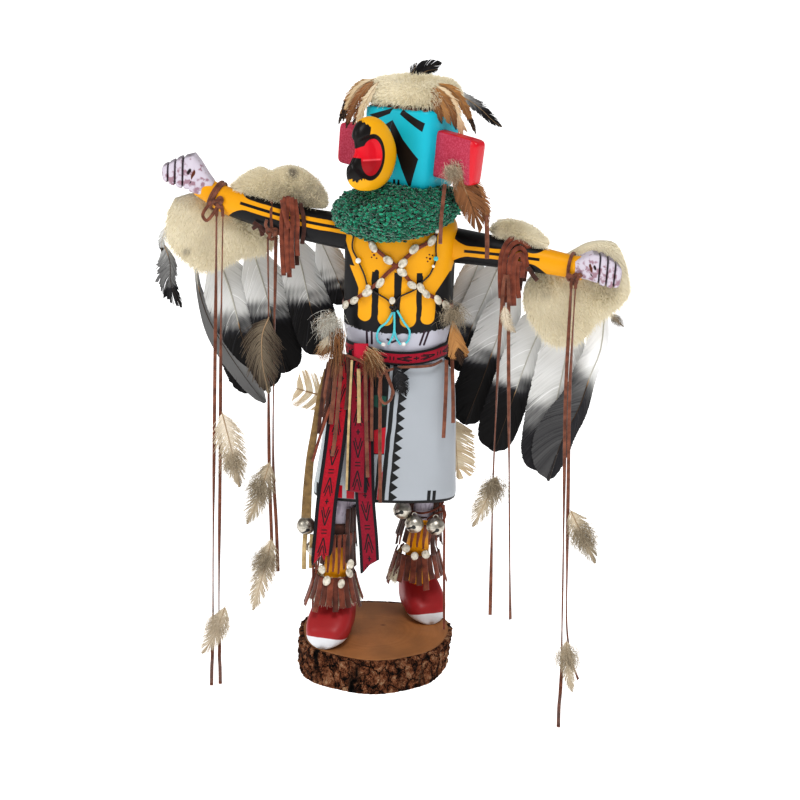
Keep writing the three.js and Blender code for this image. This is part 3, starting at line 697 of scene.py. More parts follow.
def moccasin(name, toe, heading, length, width):
    """A rounded shoe from the toe back to the heel."""
    shares = [(0, 0.34, 13), (0.012, 0.5, 15.5), (0.04, 0.66, 19), (0.14, 0.88, 25), (0.32, 1, 34), (0.55, 0.93, 46),
              (0.8, 0.8, 52), (0.95, 0.62, 52), (1, 0.42, 50)]
    rows = spline([(0, share * length, 0, wide * width / 2, high / 2) for share, wide, high in shares], 60)
    c, s = math.cos(math.radians(heading)), math.sin(math.radians(heading))
    rings, flats = [], []
    for _, gone, _, wide, half in rows:
        shape = outline(wide, half, 2.7, 72)
        low = np.clip((9 - (shape[:, 1] + half)) / 9, 0, 1) ** 2
        side = shape[:, 0] * (1 - 0.1 * low)
        across, back = toe[0] + c * side - s * gone, toe[1] + s * side + c * gone
        rings.append(np.column_stack([across, back, SOLE_HEIGHT + half + shape[:, 1]]))
        flats.append(np.column_stack([np.full(72, gone), half + shape[:, 1]]) / 100)
    points, faces = skin(rings)
    return piece(name, points, faces, shoe_paint, with_ends(np.array(flats)))


moccasin("right_moccasin", (-52.0, -49.5), -16, 66, 43)
moccasin("left_moccasin", (54, 22), 21, 62, 41)
print("legs and moccasins:", 2 * len(LEGS), "pieces")

# %% [markdown]
# The arms are painted black with a yellow band down the middle of the front, split by a thin black stroke, and yellow
# at the wrist. The paint is laid out along the limb and across it, because the arms rise and fall.

# %% Arms
RIGHT_ARM = [(-22, 2, 430, 17), (-38, 5, 431, 16.5), (-81, 17, 436, 15), (-129, 30, 446.5, 14), (-156, 38, 454, 12.2),
             (-168, 41, 460, 10.6), (-176, 43, 465, 11)]
LEFT_ARM = [(54, 0, 422, 17), (70, -3, 421, 16), (107, -14, 418, 14), (134, -22, 415, 12.5), (159, -30, 412, 11),
            (175, -36, 410, 10.5), (181, -38, 410, 11)]


def arm_paint(name, wrist, middle):
    """Black panels above and below a yellow band. wrist is where the band opens out. middle is the band's height
    across the arm at the shoulder and at the wrist, and where the band starts."""
    finish = acrylic(name, "#17161a")
    s, v = finish.flat()
    line = finish.math("MULTIPLY_ADD", s, (middle[1] - middle[0]) / wrist, middle[0])
    off = abs(v - line + (finish.noise(60, 2) - 0.5) * 1.5)
    opening = finish.math("MAXIMUM", s - wrist + 14, 0)
    root = finish.math("MAXIMUM", middle[2] - s, 0)
    yellow = finish.inside(off - 4.9 - opening * opening * 0.035 - root * root * 0.02, 0.5)
    stroke = finish.inside(abs(v - line) - 1.35, 0.4) & finish.inside(s - wrist + 6, 1)
    stroke = stroke & finish.inside(middle[2] - 6 - s, 1)
    colour = finish.mix(yellow, "#0c0c10", "#e49e09")
    return brushed(finish, finish.mix(stroke, colour, "#0c0c10"))


ARMS = {"right_arm_carving": (RIGHT_ARM, arm_paint("right_arm_paint", 124, (5.5, 4.0, 14)), "right_arm"),
        "left_arm_carving": (LEFT_ARM, arm_paint("left_arm_paint", 101, (-2.5, 2.5, 30)), "left_arm")}
for name, (stations, paint, node) in ARMS.items():
    rings, flat = limb_rings(stations, 48, 60)
    points, faces = skin(rings)
    piece(name, points, faces, paint, with_ends(flat), stands_for=[node])
print("arms:", len(ARMS))

# %% [markdown]
# Each hand is a carved fist. Its knuckles are grooves cut across the end of the limb, so the fist is the same kind of
# skin over rings with its radius pulled in at each groove, and the cuts are painted dark as painted shade.

# %% Fists
hand_paint = acrylic("hand_paint", "#d6cfd9", 0.5)
s, v = hand_paint.flat()
wash = hand_paint.noise(230, 4)
# Painted shade: cut darkens the grooves between the fingers.
cut = hand_paint.inside(hand_paint.math("PINGPONG", s - 4, 0.5) - 0.1, 0.14) & hand_paint.inside(3.6 - s, 0.2)
reddish = hand_paint.inside(0.5 - wash + abs(v + 0.4) * 0.08, 0.12) * 0.75
colour = hand_paint.mix(reddish, "#c9c1cd", "#84505f")
thumb = hand_paint.stroke(s * 8, v * 12, [(18.5, 2.5), (21, -1.5)], 1.9, 0.8)
colour = hand_paint.mix(thumb, colour, "#5a2a14")
marks = hand_paint.stroke(s * 8, v * 12, [(25.5, 1.5), (26.5, 0.5)], 1.5, 0.8) | cut
marks = marks | hand_paint.stroke(s * 8, v * 12, [(20, -5), (23, -6.5)], 0.7, 0.5)
# Painted shade: the top and bottom faces of the fist are darkened halfway.
marks = marks | (hand_paint.inside(abs(v) * -1 + 0.93, 0.1) & hand_paint.inside(3 - s, 0.2)) * 0.5
brushed(hand_paint, hand_paint.mix(marks, colour, "#23151a"))


def fist(name, stations):
    """A blocky closed hand. Each station is its top and bottom x and z, its y and its half depth. The first three lead
    in from the wrist, and one finger lies between each two of the rest."""
    rows = np.array([((a + c) / 2, y, (b + d) / 2, a - c, b - d, deep) for a, b, c, d, y, deep in stations])
    stations_end = len(rows) - 1
    s = np.linspace(0, stations_end, 120)
    rows = np.stack([np.interp(s, np.arange(len(rows)), column) for column in rows.T], -1)
    to_station = np.abs((s + 0.5) % 1 - 0.5)
    groove = np.exp(-((to_station / 0.1) ** 2)) * (s > 3.5) * (s < stations_end - 0.5)
    round_off = np.sqrt(np.clip(1 - np.clip((s - stations_end + 0.35) / 0.37, 0, 1) ** 2, 0.04, 1))
    size = (1 - 0.2 * groove + 0.05 * np.sin(np.pi * (s % 1)) * (s > 4)) * round_off
    shape = outline(1, 1, 5, 80)
    rings = np.array([row[:3] + shape[:, :1] * (row[3] / 2, 0, row[4] / 2) * k + shape[:, 1:] * (0, row[5] * k, 0)
                      for row, k in zip(rows, size)])
    flat = np.stack(np.broadcast_arrays(s[:, None], shape[:, 0]), -1) / 100
    points, faces = skin(rings)
    return piece(name, points, faces, hand_paint, with_ends(flat))


fist("right_fist", [(-163, 469, -172, 455, 42, 10), (-169, 477, -179, 457, 43, 11.5),
                    (-176, 488, -187, 459.5, 44, 12.5),
                    (-182, 495, -187, 461, 45, 13), (-192.5, 492, -193, 462, 46.5, 13),
                    (-200, 488.5, -200.5, 464, 48, 12.5),
                    (-207, 485, -207.5, 466, 49.5, 12), (-214, 481.5, -213.5, 470, 51, 10.5)])
fist("left_fist", [(174, 417.5, 174, 403, -37, 10), (179, 420.5, 180, 401.5, -38, 11.5),
                   (185, 424, 186.5, 400.5, -39.5, 12.5),
                   (190, 426, 189.5, 399.5, -41, 13), (196, 425.3, 195, 398, -42.5, 13),
                   (203, 422.5, 201.8, 396, -44, 12.5),
                   (210, 418.5, 208.4, 395, -46, 12), (217, 412, 215, 397, -48, 10.5)])

# %% [markdown]
# The mask is a rounded block turned 36 degrees to the doll's right. It is modelled square to its own axes and turned
# afterwards, because its painted eye bars and the large mark down the cheek are easiest to place from the face's own
# middle. The paint is turquoise with flat black marks.

# %% Mask
HEAD_AT, YAW = np.array([23.3, 0.4, 0]), math.radians(-36)
FACE_X = np.array([math.cos(YAW), math.sin(YAW), 0])
FACE_Y = np.array([-math.sin(YAW), math.cos(YAW), 0])


def turned(points):
    """Points in the mask's own axes, put on the doll."""
    points = np.asarray(points, float)
    return HEAD_AT + points[..., :1] * FACE_X + points[..., 1:2] * FACE_Y + points[..., 2:] * (0, 0, 1)


def face_axes(finish):
    """Where a point is across, behind and above the mask's middle."""
    x, y, z = finish.split(finish.place())
    across = finish.math("MULTIPLY_ADD", x, FACE_X[0], finish.math("MULTIPLY_ADD", y, FACE_X[1], -HEAD_AT @ FACE_X))
    behind = finish.math("MULTIPLY_ADD", x, FACE_Y[0], finish.math("MULTIPLY_ADD", y, FACE_Y[1], -HEAD_AT @ FACE_Y))
    return across, behind, z


mask_paint = acrylic("mask_paint", "#21bccd", 0.34)
x, y, z = face_axes(mask_paint)
MARKS = [
    [(9.2, 549.5), (6.7, 545), (30.5, 531), (32.8, 539)],
    [(-28.7, 541.4), (-1.5, 550), (-4.4, 544.7), (-18.8, 538.7)],
    [(-1.2, 539.2), (10.2, 522.7), (3.5, 509), (-2.1, 524.6), (-4.2, 530.6)],
    [(10.2, 522.7), (26.8, 506.2), (17.6, 477.5), (8.4, 496.4), (2.8, 511.5)],
    [(-12.1, 533), (-1.2, 539.2), (-4.2, 530.6), (-8.7, 528.6)],
    [(-1.0, 485), (-1.2, 478.6), (1.3, 478.6), (1.7, 485)],
    [(4.3, 485.4), (3.2, 478), (6.4, 478), (6.4, 485)],
    [(3, 479.2), (22, 478.4), (22, 470), (3, 470)],
]
marks = any_of(mask_paint.patch(x, z, corners, 0.35) for corners in MARKS) & mask_paint.inside(y + 20, 2)
colour = mask_paint.mix(marks, "#12b4c8", "#0f0d12")
hide = mask_paint.inside(549.6 - z + (mask_paint.noise(160, 3) - 0.5) * 5, 1.0)
brushed(mask_paint, mask_paint.mix(hide, colour, "#8a4630"), 0.5)
HEAD = [(476.5, 0, 0, 29.2, 24.5), (477.2, 0, 0, 30.8, 26), (481, 0, 0, 32.7, 27.5), (500, 0, 0, 35.6, 29),
        (528, 0, 0, 37.7, 30), (544, 0, 0, 38.1, 30.4), (548.4, 0, 0, 37, 29.4), (550, 0, 0, 34.5, 27)]
points, faces = skin(turned(stacked(HEAD, 5.4, 120, 50)))
piece("mask", points, faces, mask_paint, stands_for=["head"])
print("mask:", len(MARKS), "painted marks")

# %% [markdown]
# The beak is a thick upright disc with an open mouth. Its side is dished and painted red inside a black lip, and the
# rim swells round it. The red is painted brighter above a line across the dish and shaded darker below it, with a
# painted highlight along the line. It is built round the middle of the disc, so that one number, the share of the way
# out, sets the thickness, and the dish is scooped out round the mouth's own middle.

# %% Beak
BEAK_EDGE = [(-66.6, 545.8), (-57, 543.5), (-48.5, 538.5), (-40, 529.5), (-34, 520), (-31, 511), (-34, 497),
             (-42, 485.5), (-54, 480), (-70, 479.5), (-84.5, 482.3), (-94, 488.5), (-97.5, 497), (-94, 505),
             (-88, 511.5), (-85.5, 515.5), (-86, 519.5), (-88, 527), (-87, 535), (-78, 543.5)]
centre = np.array([-63, 512.5])
spokes = np.array(BEAK_EDGE) - centre
spokes = spokes[np.argsort(np.arctan2(spokes[:, 1], spokes[:, 0]))]
turns = circle(160) - np.pi
reach = np.interp(turns, np.arctan2(spokes[:, 1], spokes[:, 0]), np.linalg.norm(spokes, axis=1), period=2 * np.pi)
reach = np.convolve(np.concatenate([reach[-4:], reach, reach[:4]]), np.ones(9) / 9, "valid")
shares = 1 - (1 - np.linspace(0.02, 1, 36)) ** 1.5
sides = []
for side in (1, -1):
    rings = []
    for share in shares:
        y = centre[0] + reach * share * np.cos(turns)
        z = centre[1] + reach * share * np.sin(turns)
        swell = (9.6 - 0.17 * np.clip(-y - 74, 0, 26)) * (1 - share**7) ** 0.5
        d = np.hypot((y + 77) / 15.5, (z - 511) / 16.5)
        gap = np.exp(-(((z - 516.5) / 3.4) ** 2)) * np.clip((-y - 82) / 6, 0, 1)
        dish = np.maximum(3.4 * np.clip((1.2 - d) / 0.3, 0, 1) ** 0.8 * (1 + 0.25 * np.tanh((z - 508) / 3)), 3.2 * gap)
        x = np.maximum(swell - dish, 0.9 if share < 1 else 0) * side
        rings.append(np.column_stack([x, y, z]))
    sides.append(np.array(rings))
points, faces = skin(np.vstack([sides[0], sides[1][::-1][1:]]))
lean = 11 - np.abs(points[:, 0])
flat = np.column_stack([points[:, 1] - 1.37 * lean, points[:, 2] + 0.2 * lean - 500]) / 100
beak_paint = acrylic("beak_paint", "#efae18", 0.3)
u, v = beak_paint.flat()
brush = (beak_paint.noise(420, 2, stretch=(1, 1, 0.35)) - 0.5) * 7
round_mouth = beak_paint.math("SQRT", (u + 77) * (u + 77) * 1.12 + (v - 11) * (v - 11)) - 16.6
throat = beak_paint.patch(u, v, [(-82, 23), (-112, 19.5), (-112, 14.5), (-84, 10)], 0.6)
red = beak_paint.inside(round_mouth + (beak_paint.noise(90, 1) - 0.5) * 1.2, 0.5) | throat
lip = beak_paint.inside(round_mouth - 4.2, 0.6)
upper = beak_paint.patch(u, v + brush, [(-80, 31), (-79, 37.5), (-94, 45.5), (-112, 44), (-112, 17), (-92, 17)], 0.8)
lower = beak_paint.patch(u, v + brush, [(-84, -6.5), (-94, -9), (-116, -6), (-116, 15), (-97, 14), (-86, 4)], 0.8)
colour = beak_paint.mix((lip | upper) | lower, "#ebaa10", "#110e0f")
# Painted light on the red: brighter above the line across the dish, shaded darker below it, with a painted highlight
# along the line.
mouth_highlight = beak_paint.inside(abs(v - 8.6 + (u + 77) * 0.06) - 0.7, 0.9) & beak_paint.inside(round_mouth + 2.5, 1)
lit_and_shaded_red = beak_paint.mix(beak_paint.inside(v - 8 + (u + 77) * 0.06, 1.5), "#dc1229", "#a81220")
lit_and_shaded_red = beak_paint.mix(mouth_highlight * 0.7, lit_and_shaded_red, "#f06a70")
brushed(beak_paint, beak_paint.mix(red, colour, lit_and_shaded_red), 0.5)
piece("beak_disc", turned(points), faces, beak_paint, flat, stands_for=["beak"])
print("beak:", len(points), "points")

# %% [markdown]
# The ears are two blocks of wood that stand out from the sides of the mask and droop a little. They are red, with a
# dull worn rose on the front and a glossier red outside, and their edges are softly rounded.

# %% Ears
ear_paint = Finish("ear_paint", "#d3152f", 0.35)
x, y, z = face_axes(ear_paint)
matte = ear_paint.inside(y + 13.6, 0.8) & ear_paint.inside(abs(x) - 74.2, 0.6)
speck = ear_paint.noise(700, 4)
rose = ear_paint.mix(ear_paint.inside(0.52 - speck, 0.2) * 0.6, "#a92a45", "#c65069")
ear_paint.set(Base_Color=ear_paint.mix(matte, "#cc0622", rose),
              Roughness=ear_paint.math("MULTIPLY_ADD", matte, 0.45, 0.3)).bump(speck, 0.3, 0.0006)


def ear(name, node, side, out, z, height, droop):
    """A block with softly rounded edges that stands out from the side of the mask."""
    stations = [(30, 16.6, 1.03), (out - 7, 16.6, 1), (out - 4.5, 16.3, 0.985), (out - 2, 15, 0.94),
                (out - 0.6, 12.4, 0.86), (out, 8, 0.76)]
    rows = spline([(x, 0, 0, deep, tall) for x, deep, tall in stations], 30)
    rings = []
    for x, _, _, deep, tall in rows:
        o = outline(deep / 2, height * tall / 2, 7, 72)
        rings.append(np.column_stack([np.full(72, side * x), o[:, 0] - 7, z + o[:, 1]]))
    rings, pivot = np.array(rings), np.array([side * 52, 0, z])
    c, s = math.cos(math.radians(droop)), math.sin(math.radians(droop))
    rings = (rings - pivot) @ np.array([[c, 0, -s], [0, 1, 0], [s, 0, c]]) + pivot
    points, faces = skin(turned(rings))
    piece(name, points, faces, ear_paint, stands_for=[node])


ear("right_ear_block", "right_ear", -1, 76.5, 508.5, 38.5, 4)
ear("left_ear_block", "left_ear", 1, 79.6, 508.5, 41.5, 7)

# %% [markdown]
# The ruff is wound from green boucle yarn, a yarn full of small loops. From half a metre away it reads as thousands of
# soft knots with dark gaps between them, so that is what it is built from: one small blob a knot, over a dark cushion
# that is painted shade for the gaps.

# %% Yarn ruff
def balanced_points(count):
    """Directions spread evenly over a sphere."""
    i = np.arange(count) + 0.5
    z = 1 - 2 * i / count
    turn = np.pi * (1 + 5**0.5) * i
    return np.stack([np.sqrt(1 - z * z) * np.cos(turn), np.sqrt(1 - z * z) * np.sin(turn), z], -1)


def knots(centres, sizes, tones):
    """A soft blob at each centre: a cube with rounded shading, turned at random."""
    corners = np.array([(a, b, c) for a in (-1, 1) for b in (-1, 1) for c in (-1, 1)]) * 0.58
    sides = np.array([(0, 1, 3, 2), (4, 6, 7, 5), (0, 4, 5, 1), (2, 3, 7, 6), (0, 2, 6, 4), (1, 5, 7, 3)])
    turn = np.linalg.qr(rng.normal(size=(len(centres), 3, 3)))[0]
    points = centres[:, None] + np.einsum("nij,kj->nki", turn, corners) * sizes[:, None]
    faces = np.arange(len(centres))[:, None, None] * 8 + sides
    flat = np.repeat(np.column_stack([tones, tones]), 8, 0)
    return points.reshape(-1, 3), faces.reshape(-1, 4), flat


yarn = Finish("green_yarn", "#0f7557", 0.85, Sheen_Weight=0.4, Specular_IOR_Level=0.2)
tone, _ = yarn.flat()
yarn.set(Base_Color=yarn.ramp(tone * 0.01, (0.0, "#052a20"), (0.4, "#0b6149"), (0.8, "#128a69"), (1.0, "#2fb08b")))
RUFF_AT = (10, -8, 457)
around = balanced_points(7000)
lean = math.radians(-7)
tip = np.array([[math.cos(lean), 0, math.sin(lean)], [0, 1, 0], [-math.sin(lean), 0, math.cos(lean)]])
swelling = 1 + 0.035 * np.array([noise.noise(Vector(d) * 2.2) for d in around])
heights = np.where(around[:, 2:] > 0, 24.0, 29.0)
radii = np.hstack([np.tile([58, 54], (len(around), 1)), heights])
surface = (around * radii * swelling[:, None]) @ tip.T + RUFF_AT
under_mask = (np.linalg.norm((surface - HEAD_AT)[:, :2], axis=1) < 26) & (surface[:, 2] > 470)
centres = surface[~under_mask] + rng.normal(size=((~under_mask).sum(), 3)) * 0.9
sizes = rng.uniform([1.2, 1.0, 1.0], [3.1, 2.0, 2.0], (len(centres), 3))
points, faces, flat = knots(centres, sizes, rng.beta(1.6, 1.8, len(centres)))
piece("yarn_knots", points, faces, yarn, flat, stands_for=["yarn_ruff"])
# Painted shade: a near-black green cushion under the knots stands in for the shade in the gaps between them.
gap_shade = Finish("yarn_gap_shade", "#06261d", 0.95)
gap_shade.set(Base_Color=gap_shade.mix(gap_shade.noise(900, 2), "#031a13", "#0b4535")).bump(gap_shade.noise(900, 2), 1, 0.002)
rings = [[(56 * math.cos(a) * math.cos(t), 52 * math.cos(a) * math.sin(t), (22.5 if a > 0 else 27.5) * math.sin(a))
          for t in circle(60)] for a in np.linspace(-1.5, 1.5, 30)]
points, faces = skin(np.array(rings) @ tip.T + RUFF_AT)
piece("yarn_cushion", points, faces, gap_shade)
print("ruff:", len(centres), "knots")

# %% [markdown]
# Fur is a padded skin under a coat of short hairs. Each hair is a thin ribbon that starts on the pad, leans the way
# the pelt is combed and bends down at its tip. The pad's thickness comes from the distance to the edge of its outline,
# so one function gives the height for the skin and for the roots of the hairs.

# %% Fur
cream_fur = Finish("cream_fur", "#dccfae", 0.9, Sheen_Weight=0.25, Specular_IOR_Level=0.1)
tone, along = cream_fur.flat()
colour = cream_fur.ramp(tone * 0.01, (0.0, "#4a3a2c"), (0.3, "#a2977f"), (0.6, "#e2d7ba"), (1.0, "#f5eed8"))
# Painted shade: each hair is painted lighter towards its tip and darker at its root, deep in the coat.
cream_fur.set(Base_Color=cream_fur.mix(along * 0.004, colour, "#f5efdf"))


def edge_distance(points, corners):
    """How far points are inside an outline, and the direction to its nearest edge."""
    a, b = corners, np.roll(corners, -1, 0)
    run = b - a
    share = np.clip(((points[:, None] - a) * run).sum(-1) / (run * run).sum(-1), 0, 1)
    away = a + share[..., None] * run - points[:, None]
    far = np.linalg.norm(away, axis=-1)
    nearest = far.argmin(1)
    rows = np.arange(len(points))
    x, y = points[:, :1], points[:, 1:]
    rise = np.where(run[:, 1] == 0, 1e-9, run[:, 1])
    crossing = ((a[:, 1] > y) != (b[:, 1] > y)) & (x < run[:, 0] * (y - a[:, 1]) / rise + a[:, 0])
    inside = crossing.sum(1) % 2 == 1
    return np.where(inside, far[rows, nearest], 0), unit(away[rows, nearest])


def hairs(roots, lean, length, tones, width=0.5, droop=0.3, steps=3):
    """Thin tapering ribbons from roots along lean, with their tips pulled down."""
    q = np.linspace(0, 1, steps)[None, :, None]
    lengths = np.asarray(length)[:, None, None]
    paths = roots[:, None] + lengths * (lean[:, None] * q + np.array([0, 0, -droop]) * q * q)
    paths = paths + rng.normal(size=paths.shape) * 0.12 * q
    widths = width * (1 - 0.75 * q[..., 0]) * np.ones((len(roots), 1))
    points, faces = ribbons(paths, widths, (0.1, -1, 0.35))
    points[:, 2] = np.maximum(points[:, 2], 0.3)
    return points, faces, strand_flat(tones, steps)


TEN_SQUARE = np.array([(0, 0), (10, 0), (10, 10), (0, 10)], float)
print("the middle of a 10 mm square is", edge_distance(np.array([[5.0, 5.0]]), TEN_SQUARE)[0], "mm inside its edge")

# %% [markdown]
# A pelt is a pad cut to an outline, two of them to an arm: one draped over the upper arm and one round the forearm.
# Both lie in the plane of the arm, so their depth is worked out from x. Swirling noise parts the hair into locks, and
# a few darker spots are set where the photograph has them.

# %% Arm pelts
def pelt(name, corners, plane, thick, count, comb, spots, stands_for=(), shade=0.0):
    """A furry pad: corners are x, z, plane(x) is its middle depth, comb is the way the hair lies."""
    corners = spline([(x, z, 0) for x, z in corners + corners[:1]], 70)[:-1, :2]
    middle = corners.mean(0)
    rim = thick * 0.75

    def height(flat_points):
        inner, out = edge_distance(flat_points, corners)
        share = np.clip(inner / rim, 0, 1)
        return thick / 2 * np.sqrt(1 - (1 - share) ** 2), share, out

    rings = []
    for side in (-1, 1):
        for s in np.linspace(0.03, 0.97, 16)[::side * -1]:
            at = middle + (corners - middle) * s
            lift = height(at)[0] * side * -0.92
            rings.append(np.column_stack([at[:, 0], plane(at[:, 0]) + lift, at[:, 1]]))
    points, faces = skin(rings)
    pad = (points, faces, np.tile([0.5, 0.1], (len(points), 1)))
    low, high = corners.min(0), corners.max(0)
    at = rng.uniform(low, high, (count * 2, 2))
    inner, _ = edge_distance(at, corners)
    at = at[inner > 2][:count]
    lift, share, out = height(at)
    side = np.where(rng.random(len(at)) < 0.6, -1, 1)
    roots = np.column_stack([at[:, 0], plane(at[:, 0]) + side * lift * 0.9, at[:, 1]])
    normal = np.column_stack([out[:, 0] * (1 - share), side * (share + 0.2), out[:, 1] * (1 - share)])
    swirl = np.array([[noise.noise(Vector((p[0] * 0.03, p[2] * 0.03, k))) for k in (3.1, 7.7)] for p in roots])
    swirl = np.column_stack([swirl[:, 0], swirl[:, 0] * 0, swirl[:, 1]])
    lean = unit(normal) * 0.6 + np.array(comb) * 0.5 + swirl * 0.6 + rng.normal(size=(len(at), 3)) * 0.13
    patch = np.array([noise.noise(Vector((p[0] * 0.045, p[2] * 0.045, 1.5))) for p in roots])
    tones = 0.7 - shade + 0.2 * patch + rng.normal(size=len(at)) * 0.05
    for x, z, radius, depth in spots:
        tones -= depth * np.exp(-(((at[:, 0] - x) ** 2 + (at[:, 1] - z) ** 2) / radius**2))
    coat = hairs(roots, unit(lean), rng.uniform(2.4, 5.6, len(at)), np.clip(tones, 0, 1))
    points, faces, flat = joined([pad, coat])
    print(name, len(at), "hairs")
    return piece(name, points, faces, cream_fur, flat, stands_for=stands_for)


def behind_right_arm(depth):
    """The depth of a sheet this far behind the right arm, from x."""
    return lambda x: 5 + (x + 38) * (51 - 5) / (-206 + 38) + depth


def behind_left_arm(depth):
    return lambda x: -3 + (x - 70) * (-46 + 3) / (208 - 70) + depth


pelt("right_wing_pelt", [
    (-205, 449), (-212, 432), (-211, 406), (-198, 391), (-180, 380), (-160, 381), (-140, 394), (-112, 402),
    (-101, 420), (-130, 436), (-160, 445), (-184, 455),
], behind_right_arm(15), 23, 11000, (-0.5, 0, -0.7), [(-190, 401, 4, 0.6), (-204, 432, 9, 0.12)],
    stands_for=["right_wing_fur"])
pelt("right_arm_pelt", [
    (-150, 464), (-136, 478), (-118, 486), (-110, 483), (-98, 488), (-86, 489), (-70, 482), (-56, 466), (-54, 452),
    (-80, 450), (-115, 452), (-140, 458),
], behind_right_arm(4), 24, 9000, (-0.3, -0.1, 0.6), [(-87, 482, 5, 0.7), (-64, 466, 14, 0.3), (-78, 458, 14, 0.25)],
    stands_for=["right_arm_fur"], shade=0.1)
pelt("left_wing_pelt", [
    (174, 424), (187, 432), (203, 435), (214, 432), (226, 400), (226, 384), (211, 366), (197, 354), (186, 338),
    (170, 331), (158, 331), (144, 342), (130, 366), (132, 390), (150, 406),
], behind_left_arm(17), 23, 12000, (0.35, 0, -0.8), [(150, 384, 9, 0.3)], stands_for=["left_wing_fur"])
pelt("left_arm_pelt", [
    (94, 438), (106, 448), (122, 449), (140, 442), (152, 429), (140, 425), (110, 429),
], behind_left_arm(4), 21, 4500, (0.3, -0.1, 0.5), [(96, 440, 7, 0.5)], stands_for=["left_arm_fur"])

# %% [markdown]
# The same fur sits on the mask like a cap. Its pad is a low dome, and the hairs stand up from it and lean outwards at
# the rim.

# %% Fur on the head
HAIRS = 9000
CAP = [(553.5, 35, 28), (558, 38.5, 31.5), (567, 37, 30.5), (573.5, 28, 22), (576, 8, 6)]
rings = stacked([(z, 0, 1, w, d) for z, w, d in CAP], 3, 90, 40)
points, faces = skin(turned(rings))
roots = rings.reshape(-1, 3)[rng.choice(rings.size // 3, HAIRS)] + rng.normal(size=(HAIRS, 3)) * 0.8
up_share = np.clip((roots[:, 2] - 551) / 25, 0, 1)
out = unit(np.column_stack([roots[:, :2], (up_share - 0.25) * 45]))
swirl = np.array([noise.noise(Vector(p * 0.05)) for p in roots])
sway = np.column_stack([swirl * 0.7, swirl * 0, -0.15 * (1 - up_share)])
lean = unit(out * 0.8 + rng.normal(size=out.shape) * 0.2 + sway) @ np.array([FACE_X, FACE_Y, (0, 0, 1)])
# Painted shade: the hairs darken towards the mask's left side, the side turned away from the lamps.
tones = 0.78 + 0.2 * swirl + rng.normal(size=HAIRS) * 0.05 - 0.004 * np.clip(roots[:, 0], 0, 40)
coat = hairs(turned(roots), lean, rng.uniform(2.4, 5.5, HAIRS), np.clip(tones, 0, 1))
points, faces, flat = joined([(points, faces, np.tile([0.5, 0.1], (len(points), 1))), coat])
piece("head_pelt", points, faces, cream_fur, flat, stands_for=["head_fur"])
print("head_pelt", HAIRS, "hairs")

# %% [markdown]
# A feather is a shaft with a row of barbs on each side. The barbs are ribbons that overlap into a vane, sweep towards
# the tip, and part in a few places where a real vane has split. A number from 0 to 1 laid on every point says how
# dark it is, so that one finish gives the pale and the black part of a wing feather.

# %% Feathers
WING = [(0, 0.5), (0.1, 0.8), (0.3, 0.97), (0.6, 1.0), (0.8, 1.0), (0.88, 0.96), (0.93, 0.88), (0.965, 0.75),
        (0.985, 0.6), (1, 0.25)]
LEAF = [(0, 0.2), (0.15, 0.65), (0.45, 1.0), (0.75, 0.8), (0.93, 0.4), (1, 0.08)]


def vane_finish(name, *stops):
    finish = Finish(name, stops[0][1], 0.6, Specular_IOR_Level=0.12, Sheen_Weight=0.05)
    tone, streak = finish.flat()
    colour = finish.ramp(tone * 0.01, *stops)
    finish.set(Base_Color=finish.mix(streak * 0.0012, colour, "#77716f"))
    return finish


quill_finish = vane_finish("quill", (0.0, "#eeebe2"), (0.25, "#a9a79d"), (0.55, "#a0805c"), (1.0, "#1d1716"))
wing_vane = vane_finish("wing_vane", (0.0, "#fdfdfd"), (0.3, "#d0d0cd"), (0.55, "#80807f"), (0.8, "#26262a"),
                        (1.0, "#060607"))
tan_vane = vane_finish("tan_vane", (0.0, "#e9dcc2"), (0.3, "#c3a67c"), (0.55, "#966640"), (0.8, "#54351f"),
                       (1.0, "#150f0d"))
ginger_vane = vane_finish("ginger_vane", (0.0, "#dcc7a6"), (0.4, "#bd8b54"), (0.7, "#7a5230"), (1.0, "#15100d"))
down_vane = vane_finish("down_vane", (0.0, "#efe5d6"), (0.35, "#cabba2"), (0.65, "#8c806c"), (1.0, "#3a2d23"))


STEPS, ARCH, FORWARD = 6, 0.1, (0, -1, 0)


